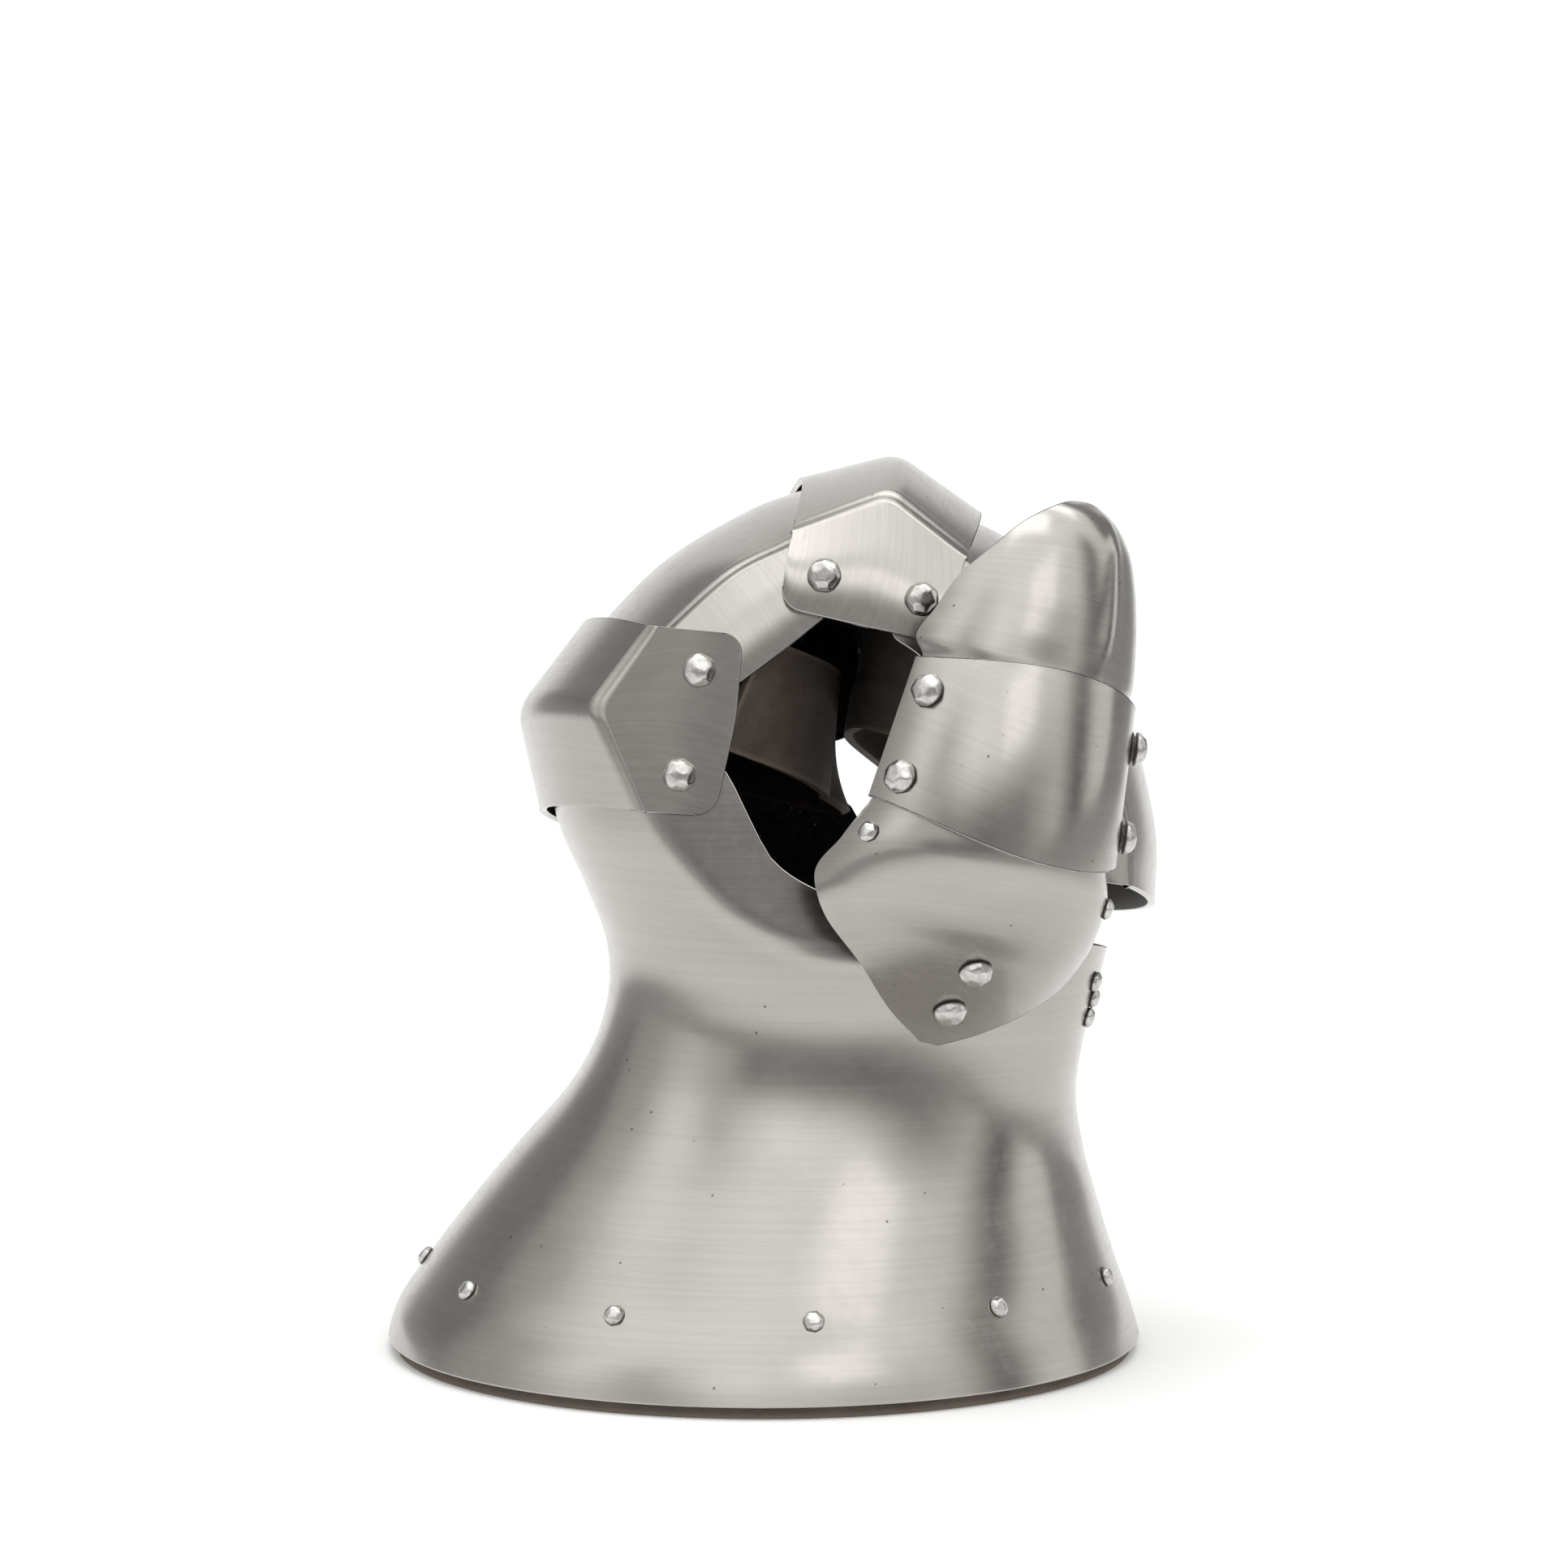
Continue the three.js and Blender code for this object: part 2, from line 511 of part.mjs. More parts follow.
// A boxy gutter: a crowned back from crease to crease and a flat flange on each side
function plateSurface(stations, halfWidth, ridge) {
  const beta = radians(CROWN_HALF_ANGLE);
  return (u, v) => {
    const [apexX, apexZ, creaseX, creaseZ, edgeX, edgeZ] = plateRow(stations, v, ridge);
    const side = 2 * u - 1;
    const across = Math.abs(side);
    if (across <= CROWN_SHARE) {
      const turn = beta * across / CROWN_SHARE;
      const rise = (Math.cos(turn) - Math.cos(beta)) / (1 - Math.cos(beta));
      const y = -Math.sign(side) * halfWidth * Math.sin(turn) / Math.sin(beta);
      return new THREE.Vector3(creaseX + (apexX - creaseX) * rise, y, creaseZ + (apexZ - creaseZ) * rise);
    }
    const width = Math.hypot(edgeX - creaseX, edgeZ - creaseZ);
    const first = stations[0];
    const last = stations[stations.length - 1];
    const length = Math.hypot(last.edgeX - first.edgeX, last.edgeZ - first.edgeZ);
    const fromEnd = Math.min(v, 1 - v) * length;
    const inset = Math.max(CORNER_RADIUS - fromEnd, 0);
    const rounding = CORNER_RADIUS - Math.sqrt(CORNER_RADIUS ** 2 - inset ** 2);
    const out = (across - CROWN_SHARE) / (1 - CROWN_SHARE) * (1 - rounding / width);
    return new THREE.Vector3(
      creaseX + (edgeX - creaseX) * out, -Math.sign(side) * halfWidth, creaseZ + (edgeZ - creaseZ) * out,
    );
  };
}

const halfColumns = CROWN_COLUMNS.map((share) => share / 2);
const nearColumns = halfColumns.slice(1).reverse().map((h) => 0.5 - h);
const plateColumns = [...nearColumns, ...halfColumns.map((h) => 0.5 + h)];

function addPlate(name, stations, halfWidth, pivots, { ridge = 0, rows }) {
  const shell = sheet(plateSurface(stations, halfWidth, ridge), {
    us: plateColumns, vs: rows, outer: 0, inner: -STEEL,
  });
  return addMesh(mitten, name, drilled(shell, pivots.map(pivotDrill)), 'steel');
}

const { body_knuckle_1, knuckle_1_finger_1, finger_1_knuckle_2, knuckle_2_finger_2 } = PIVOTS;
const ridged = { ridge: RIDGE_WIDTH, rows: RIDGED_ROWS };
addPlate('knuckle_plate_1', KNUCKLE_1, KNUCKLE_HALF_WIDTH, [body_knuckle_1, knuckle_1_finger_1], ridged);
addPlate('finger_plate_1', FINGER_1, FINGER_HALF_WIDTH, [knuckle_1_finger_1, finger_1_knuckle_2], {
  rows: FINGER_1_ROWS,
});
addPlate('knuckle_plate_2', KNUCKLE_2, KNUCKLE_HALF_WIDTH, [finger_1_knuckle_2, knuckle_2_finger_2], ridged);
const finger2 = addPlate('finger_plate_2', FINGER_2, FINGER_HALF_WIDTH, [knuckle_2_finger_2], {
  rows: FINGER_2_ROWS,
});

for (const [pivot, place] of Object.entries(PIVOTS)) {
  for (const [side, sign] of [['near', -1], ['far', 1]]) {
    const rivet = rivetGeometry(PIVOT_RIVET, { grip: PIVOT_GRIP, innerHead: true });
    const seat = new THREE.Vector3(place.x, sign * KNUCKLE_HALF_WIDTH, place.z);
    addMesh(mitten, `pivot_${pivot}_${side}`, rivet, 'rivet').applyMatrix4(
      standing(seat, new THREE.Vector3(0, sign, 0)),
    );
  }
}

// The rivet that holds the finger strap, on the crown of finger plate 2
const crownAt = plateSurface(FINGER_2, FINGER_HALF_WIDTH, 0);
const strapRivetSeat = crownAt(STRAP_RIVET.across, STRAP_RIVET.along);
const strapRivetPlace = standing(strapRivetSeat, new THREE.Vector3(1, 0, 0));
finger2.geometry = drilled(finger2.geometry, [drill(SMALL_RIVET, SHEET_DRILL, strapRivetPlace)]);
const strapRivet = rivetGeometry(SMALL_RIVET, { grip: STEEL });
addMesh(mitten, 'strap_rivet', strapRivet, 'rivet').applyMatrix4(strapRivetPlace);

// Linings and straps inside the mitten

const fingerInside = plateSurface(FINGER_1, FINGER_HALF_WIDTH, 0);
const clearOfRivets = PIVOT_GRIP + RIVET_SEAT + INNER_HEAD.height - STEEL - GAP + LINING_CLEARANCE;
addMesh(mitten, 'finger_lining', sheet(fingerInside, {
  us: FINGER_LINING_COLUMNS,
  vs: FINGER_LINING_ROWS,
  outer: -clearOfRivets,
  inner: -clearOfRivets - CLOTH,
}), 'cloth');

const flapDepth = FINGER_HALF_WIDTH - clearOfRivets - CLOTH - FLAP_GAP;
const flapSurface = (u, v) => {
  const x = THREE.MathUtils.lerp(FLAP[FLAP.length - 1].x, FLAP[0].x, u);
  const [top, foot] = ['top', 'foot'].map((column) => smoothColumn(FLAP, 'x', column, x));
  return new THREE.Vector3(x, flapDepth, THREE.MathUtils.lerp(foot, top, v));
};
addMesh(mitten, 'finger_flap', sheet(flapSurface, {
  us: steps(FLAP_STEPS.across), vs: steps(FLAP_STEPS.up), outer: 0, inner: -CLOTH,
}), 'cloth');

// A leather loop from flange to flange that hangs slack in the middle
function strapSurface({ side, middle, sag, endGap }) {
  return (u, v) => {
    const across = 2 * u - 1;
    const slack = 1 - Math.abs(across) ** STRAP_SLACK_POWER;
    const droop = Math.sin(Math.PI * THREE.MathUtils.clamp(across, 0, 1)) * v ** 2;
    const read = (end) => [`${end}X`, `${end}Z`].map((key) => {
      return THREE.MathUtils.lerp(side[key], middle[key], slack);
    });
    const [topX, topZ] = read('top');
    const [footX, footZ] = read('foot');
    return new THREE.Vector3(
      THREE.MathUtils.lerp(topX, footX, v) + sag.x * droop,
      across * (STRAP_HALF_WIDTH - endGap),
      THREE.MathUtils.lerp(topZ, footZ, v) + sag.z * droop,
    );
  };
}
for (const [name, strap] of [['hand_strap', HAND_STRAP], ['finger_strap', FINGER_STRAP]]) {
  addMesh(mitten, name, sheet(strapSurface(strap), {
    us: steps(STRAP_COLUMNS), vs: steps(STRAP_ROWS), outer: LEATHER / 2, inner: -LEATHER / 2,
  }), 'leather');
}

// Thumb

// A point on a round gutter, from its edges' distances across and a station's depth and radius
function gutterPoint(x, z, top, radius) {
  const reach = Math.min(Math.abs(x), radius * STEEPEST_WALL);
  return new THREE.Vector3(x, top + radius - Math.sqrt(radius ** 2 - reach ** 2), z);
}

function gutterSurface(stations) {
  return (u, v) => {
    const z = THREE.MathUtils.lerp(stations[0].z, stations[stations.length - 1].z, v);
    const [top, radius, left, right] = ['top', 'radius', 'left', 'right'].map((column) => {
      return smoothColumn(stations, 'z', column, z);
    });
    return gutterPoint(THREE.MathUtils.lerp(left, right, u), z, top, radius);
  };
}

// The middle plate narrows up the thumb, and its upper and lower edges bow away from each other
const midRadius = (z) => THUMB_RADIUS - THUMB_TAPER * z;
function midSurface(u, v) {
  const turn = radians(THREE.MathUtils.lerp(THUMB_MID_WRAP.left, THUMB_MID_WRAP.right, u));
  const across = Math.sin(turn);
  const { lower, lowerRise, upper, upperDrop } = THUMB_MID_EDGES;
  const z = THREE.MathUtils.lerp(lower + lowerRise * across ** 2, upper - upperDrop * across ** 2, v);
  const radius = midRadius(z);
  return new THREE.Vector3(radius * across, THUMB_AXIS_DEPTH - radius * Math.cos(turn), z);
}

// A rivet's place on the middle plate
function midPlace(angle, z) {
  const turn = radians(angle);
  const outward = new THREE.Vector3(Math.sin(turn), -Math.cos(turn), 0);
  const seat = new THREE.Vector3(0, THUMB_AXIS_DEPTH, z).addScaledVector(outward, midRadius(z));
  outward.z = THUMB_TAPER;
  return standing(seat, outward.normalize());
}

const thumbPivots = [
  { name: 'thumb_pivot_base_left', angle: -THUMB_RIVET_ANGLE, z: 0 },
  { name: 'thumb_pivot_base_right', angle: THUMB_RIVET_ANGLE, z: 0 },
  { name: 'thumb_pivot_tip_left', angle: -THUMB_RIVET_ANGLE, z: THUMB_PIVOT_SPACING },
  { name: 'thumb_pivot_tip_right', angle: THUMB_RIVET_ANGLE, z: THUMB_PIVOT_SPACING },
];
const thumbDrills = thumbPivots.map(({ angle, z }) => drill(PIVOT_RIVET, THUMB_DRILL, midPlace(angle, z)));

// A rivet's place on a gutter plate, from its share across and along the plate
function gutterPlace(surface, u, v) {
  const step = 1e-3;
  const along = surface(u + step, v).sub(surface(u - step, v));
  const up = surface(u, v + step).sub(surface(u, v - step));
  return standing(surface(u, v), along.cross(up).normalize());
}

const baseSurface = gutterSurface(THUMB_BASE);
const baseRivets = [
  { name: 'thumb_rivet_small_left', rivet: SMALL_RIVET, u: 0.03, v: 0.65 },
  { name: 'thumb_rivet_small_right', rivet: SMALL_RIVET, u: 0.94, v: 0.6 },
  { name: 'thumb_rivet_big_upper', rivet: BIG_RIVET, u: 0.5, v: 0.28 },
  { name: 'thumb_rivet_big_lower', rivet: BIG_RIVET, u: 0.5, v: 0.13 },
].map((row) => ({ ...row, place: gutterPlace(baseSurface, row.u, row.v) }));
const baseShell = sheet(baseSurface, {
  us: steps(THUMB_COLUMNS.base), vs: THUMB_BASE_ROWS, outer: 0, inner: -STEEL,
});
const baseHoles = baseRivets.map(({ rivet, place }) => drill(rivet, SHEET_DRILL, place));
addMesh(thumb, 'thumb_base', drilled(baseShell, [...baseHoles, ...thumbDrills.slice(0, 2)]), 'steel');
const midShell = sheet(midSurface, {
  us: steps(THUMB_COLUMNS.mid), vs: steps(THUMB_MID_ROWS), outer: 0, inner: -STEEL,
});
addMesh(thumb, 'thumb_mid', drilled(midShell, thumbDrills), 'steel');
const tipShell = sheet(gutterSurface(THUMB_TIP), {
  us: steps(THUMB_COLUMNS.tip), vs: THUMB_TIP_ROWS, outer: 0, inner: -STEEL,
});
addMesh(thumb, 'thumb_tip', drilled(tipShell, thumbDrills.slice(2)), 'steel');

for (const { name, angle, z } of thumbPivots) {
  const rivet = rivetGeometry(PIVOT_RIVET, {
    grip: THUMB_GRIP, innerHead: true, neck: angle > 0 ? RIGHT_NECK : 0,
  });
  addMesh(thumb, name, rivet, 'rivet').applyMatrix4(midPlace(angle, z));
}
for (const { name, rivet, place } of baseRivets) {
  addMesh(thumb, name, rivetGeometry(rivet, { grip: STEEL }), 'rivet').applyMatrix4(place);
}

// The leather tab that the thumb hangs on: up inside the body, over its edge and down outside
const hingeSurface = (u, v) => {
  const angle = radians(THREE.MathUtils.lerp(THUMB_HINGE.from, THUMB_HINGE.to, u));
  const top = bodyTop(angle);
  const inside = -STEEL - THUMB_HINGE.standoff - LEATHER / 2;
  const outside = THUMB_HINGE.standoff + LEATHER / 2;
  const over = THREE.MathUtils.clamp((v - HINGE_FOLD.start) / HINGE_FOLD.share, 0, 1);
  const up = Math.min(Math.min(v, 1 - v) / HINGE_FOLD.start, 1);
  const z = THREE.MathUtils.lerp(v < 0.5 ? THUMB_HINGE.foot : THUMB_HINGE.outerFoot, top, up);
  const arch = Math.sin(over * Math.PI) * THUMB_HINGE.rise;
  const offset = THREE.MathUtils.lerp(inside, outside, (1 - Math.cos(over * Math.PI)) / 2);
  const point = bodyPoint(angle, z).addScaledVector(bodyNormal(angle, z), offset);
  point.z += arch;
  return point;
};
addMesh(gauntlet, 'thumb_hinge', sheet(hingeSurface, {
  us: steps(HINGE_COLUMNS), vs: HINGE_ROWS, outer: LEATHER / 2, inner: -LEATHER / 2,
}), 'leather');

// The origin is the middle of the footprint of the whole gauntlet, on the surface it stands on
gauntlet.updateMatrixWorld(true);
const bounds = new THREE.Box3().setFromObject(gauntlet, true);
gauntlet.position.set(-(bounds.min.x + bounds.max.x) / 2, -(bounds.min.y + bounds.max.y) / 2, -bounds.min.z);

export default gauntlet;
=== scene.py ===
import itertools
import math
import bpy
import numpy as np
from mathutils import Matrix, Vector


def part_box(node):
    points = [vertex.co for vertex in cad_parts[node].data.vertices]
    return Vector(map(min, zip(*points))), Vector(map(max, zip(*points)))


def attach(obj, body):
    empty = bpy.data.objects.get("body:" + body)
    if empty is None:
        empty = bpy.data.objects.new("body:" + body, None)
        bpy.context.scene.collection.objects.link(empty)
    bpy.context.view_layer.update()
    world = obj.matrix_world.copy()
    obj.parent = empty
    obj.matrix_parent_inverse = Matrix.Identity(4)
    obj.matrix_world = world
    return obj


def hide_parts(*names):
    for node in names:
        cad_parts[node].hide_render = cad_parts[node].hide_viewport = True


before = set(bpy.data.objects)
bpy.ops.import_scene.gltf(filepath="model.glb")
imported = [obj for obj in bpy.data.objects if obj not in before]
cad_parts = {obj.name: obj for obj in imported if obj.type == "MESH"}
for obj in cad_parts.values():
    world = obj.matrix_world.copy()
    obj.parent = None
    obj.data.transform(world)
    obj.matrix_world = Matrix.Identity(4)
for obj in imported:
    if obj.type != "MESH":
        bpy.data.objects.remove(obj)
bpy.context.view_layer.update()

# Sizes are in millimetres in the making of each piece, and its mesh is in metres.
STEEL = 1.5
LEATHER = 2.0
CLOTH = 1.2
GAP = 0.4
EDGE_ROUND = 0.3
# Step of the differences that give a surface's slopes
STEP = 1e-3


def table(columns, *rows):
    """Named columns of a short table."""
    return dict(zip(columns.split(), np.array(rows, float).T))


# The hourglass at each height: its reach on four sides, and the power and turn of its oval
BODY_LEVELS = table(
    "z back palm near far power turn",
    (0, -78.2, 77.4, -78, 78, 2, 0),
    (9, -75.6, 74.8, -74.5, 74.5, 2, 0),
    (19, -68.8, 71.4, -68, 67, 2, 0),
    (30, -60.4, 68, -61.5, 59.5, 2.05, 0),
    (42, -50.4, 64.8, -55, 52, 2.1, 0),
    (53, -40.8, 63.3, -50.5, 44.5, 2.2, 0.5),
    (63, -35, 64.4, -48.2, 40.5, 2.3, 1.5),
    (73, -32.2, 66.8, -48, 43, 2.4, 3),
    (83, -32.6, 69.2, -50.4, 51.5, 2.4, 4.5),
    (95, -37, 70.5, -56.8, 60, 2.3, 5.5),
    (108, -42.6, 71, -62, 66.5, 2.2, 5.5),
    (124, -45, 71, -66.5, 67.5, 2.1, 5.5),
)
RIM_HEIGHT = 2.5
WAIST_Z = 66
TOP_SEARCH = (63, 124)
CREASE_SOFTNESS = 3
FLAT_FOOT = -29
FLAT_OPENING = 0.06
BAND_HEIGHT = 24
BAND_GAP = 0.95

# Where the body ends below the mitten, and its lining on the far side, in the mitten's frame
OPENING_EDGE = table(
    "x z",
    (-70, 11), (-34, 11), (-26, 8.6), (-21.7, 4), (-17.4, -4.9), (-13.4, -12.4),
    (-5.7, -18), (5, -22), (20, -26), (40, -28.4), (70, -29.4),
)
LINING_FAR = table(
    "x z",
    (-70, -3), (-31, -3), (-26, 4), (-16, 8), (0, 7), (12, 4), (18, -10), (26, -28), (70, -31.5),
)
LINING_ANGLES = (81, 279)
LINING_FOOT = 60
LINING_GAP = 1.5
LINING_TRIM = 0.5

KNUCKLE_HALF_WIDTH = 49
FINGER_HALF_WIDTH = KNUCKLE_HALF_WIDTH - STEEL - GAP
CROWN_HALF_ANGLE = math.radians(43)
CROWN_SHARE = 0.62
CORNER_RADIUS = 4
RIDGE_WIDTH = 0.16
CREASE_ROUND = 0.02
CREASE_REACH = 0.12

# Mitten plates in the mitten's frame: the middle of the back, the crease and the flange's edge
PLATE_COLUMNS = "apexX apexZ creaseX creaseZ edgeX edgeZ"
KNUCKLE_1 = table(
    PLATE_COLUMNS,
    (-56, 0.3, -38.9, -3.3, -24.4, -4.2),
    (-60.4, 21, -48.2, 17.1, -20, 14.5),
    (-47, 38.4, -36.3, 32.8, -18.4, 31),
)
FINGER_1 = table(
    PLATE_COLUMNS,
    (-47.7, 33.3, -38.3, 27.6, -27.6, 15.6),
    (-31.6, 49.8, -21.4, 42.8, -11.9, 27),
    (-13.8, 60.6, -9.6, 48.9, -1.6, 35),
    (-1.5, 65.2, -1, 53.2, 3.6, 39.6),
)
KNUCKLE_2 = table(
    PLATE_COLUMNS,
    (-2.9, 67.4, -8.6, 52, -11.4, 36.4),
    (16.8, 72.1, 10.5, 59.3, 4.4, 32.6),
    (33.8, 60.2, 25.9, 46.8, 19, 29.4),
)
FINGER_2 = table(
    PLATE_COLUMNS,
    (22, 62.4, 15.2, 52, 9.6, 31.2),
    (40.3, 54.4, 31, 40, 17, 26),
    (54.5, 40.5, 42, 27.5, 27, 15),
    (63.5, 19, 51.5, 10, 36, 1.5),
    (68.6, -5, 56.5, -5.5, 43.5, -9),
    (68.2, -21, 57, -18.5, 48, -17),
)
PIVOTS = {
    "body_knuckle_1": (-31.3, 3.8),
    "knuckle_1_finger_1": (-27.2, 24.1),
    "finger_1_knuckle_2": (-2.5, 42.5),
    "knuckle_2_finger_2": (16.5, 37.8),
}

THUMB_RADIUS = 27.6
THUMB_TAPER = 0.115
THUMB_RIVET_ANGLE = 65
THUMB_PIVOT_SPACING = 17.2
THUMB_AXIS_DEPTH = THUMB_RADIUS * math.cos(math.radians(THUMB_RIVET_ANGLE))
# Thumb plates in the thumb's frame: at each height, the top of the round and where its sides end
STATION_COLUMNS = "z top radius left right"
THUMB_BASE = table(
    STATION_COLUMNS,
    (-47.6, 17, 42, 2.6, 6.4),
    (-43, 12.3, 41, -8, 14.6),
    (-36, 4.3, 38.5, -18.8, 22.8),
    (-29, -3.3, 36, -28, 27.6),
    (-22, -10.4, 33, -31.4, 28),
    (-13, -14.8, 30, -29.4, 28),
    (-5, -14, 26.4, -26, 24.8),
    (8, -12.6, 24.3, -23, 23),
)
THUMB_TIP = table(
    STATION_COLUMNS,
    (10.5, -11.8, 23.5, -22.2, 22),
    (20, -11.1, 22.8, -22.2, 21.8),
    (24, -10.6, 22.8, -22.4, 21.8),
    (27.5, -10.2, 25, -24.3, 21.8),
    (33, -9.9, 24, -22.9, 21.4),
    (41, -8.8, 21.8, -20.2, 19.8),
    (48.8, -6.6, 19.3, -15.6, 17.2),
    (53.6, -4.5, 17.1, -11.9, 15.4),
    (58, -1.2, 13.5, -6.2, 12),
    (60.8, 2.6, 9.5, -0.5, 7),
)
# Widest reach of a round, as a share of its radius
STEEPEST_WALL = 0.985
KEEL = {"place": 0.69, "width": 0.06, "start": 0.31}
TIP_EDGE_LENGTH = 114
TIP_CORNER = 4
MID_WRAP = (-79, 72)
MID_EDGES = {"lower": -9.9, "lower_rise": 5.4, "upper": 27.1, "upper_drop": 3.7}
HINGE = {"from": -66, "to": -52, "foot": 68, "outer_foot": 73, "rise": 4.5, "standoff": 1}

# Straps: x and z of the top and of the foot, at the sides and in the middle, and how far the foot sags
HAND_STRAP = {
    "side": (-14, 31, -23.5, 9.5), "middle": (4.6, 26.6, 1.4, 2.2), "sag": (10, -3), "end_gap": 1,
}
FINGER_STRAP = {
    "side": (21.5, 25.5, 32.5, 3), "middle": (12.5, 38.5, 8.2, 16), "sag": (0, 0), "end_gap": 0.25,
}
STRAP_HALF_WIDTH = FINGER_HALF_WIDTH - STEEL - GAP
# The cloth flap between the straps, in the mitten's frame
FLAP = table("x top foot", (-6, 40, 26), (0, 43, 20), (7, 44, 17), (14, 41, 19))
FLAP_GAP = 0.4
LINING_CLEARANCE = 0.1

PIVOT_RIVET = {"head": 3.3, "height": 2.5, "shank": 1.9}
SMALL_RIVET = {"head": 2.1, "height": 1.3, "shank": 1.2}
BIG_RIVET = {"head": 3.3, "height": 2.4, "shank": 1.6}
# Hammer marks on a rivet's dome: how far up they face, and how many go round
HAMMER_MARKS = [(1.0, 1), (0.78, 6), (0.42, 7)]
RIVET_SEAT = 0.25
INNER_HEAD_HEIGHT = 1.2
PIVOT_SLACK = 0.55
THUMB_SLACK = 1.8
PIVOT_GRIP = 2 * STEEL + GAP + PIVOT_SLACK
THUMB_GRIP = 2 * STEEL + THUMB_SLACK
# Neck under the heads of the thumb's right-hand pivots
RIGHT_NECK = 0.7
FIRST_RIVET_SEED = 101
CUFF_RIVETS = {"count": 11, "first": -83, "height": 17.5}
PALM_RIVETS = [(-21, 77), (-17, 73.5), (-16, 69.5)]
# Share of the way across and along finger plate 2
STRAP_RIVET_PLACE = (0.5, 0.8375)


def turned(axis, degrees):
    """A rotation about one axis."""
    c, s = math.cos(math.radians(degrees)), math.sin(math.radians(degrees))
    i, j = {"x": (1, 2), "y": (2, 0), "z": (0, 1)}[axis]
    matrix = np.eye(3)
    matrix[i, i] = matrix[j, j] = c
    matrix[i, j], matrix[j, i] = -s, s
    return matrix


MITTEN_ORIGIN = np.array([10.0, 0, 110])
MITTEN_TURN = turned("z", 5.5) @ turned("x", -8.5)
THUMB_ORIGIN = np.array([47.1, -62.8, 115.7])
THUMB_TURN = turned("z", 27.7) @ turned("y", 15.5)

# The cuff's middle is at (-0.4, 0) where the tables are measured from.
low, high = (np.array(corner) * 1000 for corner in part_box("cuff_band"))
SHIFT = np.array([(low[0] + high[0]) / 2 + 0.4, (low[1] + high[1]) / 2, low[2]])


def from_mitten(points):
    return points @ MITTEN_TURN.T + MITTEN_ORIGIN


def to_mitten(points):
    return (points - MITTEN_ORIGIN) @ MITTEN_TURN


def from_thumb(points):
    return points @ THUMB_TURN.T + THUMB_ORIGIN


def lerp(a, b, t):
    return a + (b - a) * t


def unit(vectors):
    return vectors / np.maximum(np.linalg.norm(vectors, axis=-1, keepdims=True), 1e-9)


def soft_min(a, b, width):
    """The lesser of two values, with the corner between them rounded."""
    h = np.maximum(width - np.abs(a - b), 0) / width
    return np.minimum(a, b) - h * h * width / 4


def smooth_column(rows, key, column, at):
    """Smooth curve through one column of a table, read at a value of another."""
    k, c = rows[key], rows[column]
    last = len(k) - 1
    i = np.clip(np.searchsorted(k, at) - 1, 0, last - 1)
    before, after = np.maximum(np.arange(last + 1) - 1, 0), np.minimum(np.arange(last + 1) + 1, last)
    slope = (c[after] - c[before]) / (k[after] - k[before])
    step = k[i + 1] - k[i]
    t = (at - k[i]) / step
    t2, t3 = t * t, t * t * t
    return (c[i] * (2 * t3 - 3 * t2 + 1) + c[i + 1] * (3 * t2 - 2 * t3)
            + slope[i] * step * (t3 - 2 * t2 + t) + slope[i + 1] * step * (t3 - t2))


# Surfaces of the pieces

def body_point(angle, z):
    """The hourglass at an angle about its axis and a height: an oval, flat-sided at the hand."""
    back, palm, near, far, power, turn = (
        smooth_column(BODY_LEVELS, "z", column, z) for column in "back palm near far power turn".split())
    centre = np.stack([(back + palm) / 2, (near + far) / 2, z], -1)
    direction = np.stack([np.cos(angle), np.sin(angle), np.zeros_like(angle)], -1)
    across_x = np.abs(2 * np.cos(angle - np.radians(turn)) / (palm - back)) ** power
    across_y = np.abs(2 * np.sin(angle - np.radians(turn)) / (far - near)) ** power
    radius = (across_x + across_y) ** (-1 / power)
    local = to_mitten(centre)
    heading = direction @ MITTEN_TURN
    facing = np.abs(heading[..., 1]) > 0.1
    sideways = np.where(facing, heading[..., 1], 1)
    reach = (np.sign(sideways) * FINGER_HALF_WIDTH - local[..., 1]) / sideways
    below = np.maximum(FLAT_FOOT - local[..., 2] - heading[..., 2] * reach, 0)
    flat = soft_min(radius, reach + FLAT_OPENING * below ** 2, CREASE_SOFTNESS)
    radius = np.where(facing, flat, radius)
    return centre + direction * radius[..., None]


def opening_edge(local):
    return smooth_column(OPENING_EDGE, "x", "z", local[..., 0])


def lining_edge(local):
    near = np.minimum(opening_edge(local) - 2, -3)
    return np.where(local[..., 1] > 0, smooth_column(LINING_FAR, "x", "z", local[..., 0]), near)


def body_top(angle, edge=opening_edge):
    """The height at which the body or its lining ends."""
    bottom, top = (np.full_like(angle, z, float) for z in TOP_SEARCH)
    for _ in range(30):
        middle = (bottom + top) / 2
        local = to_mitten(body_point(angle, middle))
        over = local[..., 2] > edge(local)
        top, bottom = np.where(over, middle, top), np.where(over, bottom, middle)
    return bottom


def body_normal(angle, z):
    along = body_point(angle + STEP, z) - body_point(angle - STEP, z)
    up = body_point(angle, z + STEP) - body_point(angle, z - STEP)
    return unit(np.cross(along, up))


def body_surface(u, v):
    angle = u * 2 * np.pi
    lower = lerp(RIM_HEIGHT, WAIST_Z, np.minimum(v * 2, 1))
    upper = lerp(WAIST_Z, body_top(angle), np.maximum(v * 2 - 1, 0))
    return body_point(angle, np.where(v < 0.5, lower, upper))


def band_surface(u, v):
    return body_point(u * 2 * np.pi, v * BAND_HEIGHT)


def lining_surface(u, v):
    angle = np.radians(lerp(*LINING_ANGLES, u))
    return body_point(angle, lerp(LINING_FOOT, body_top(angle, lining_edge) - LINING_TRIM, v))


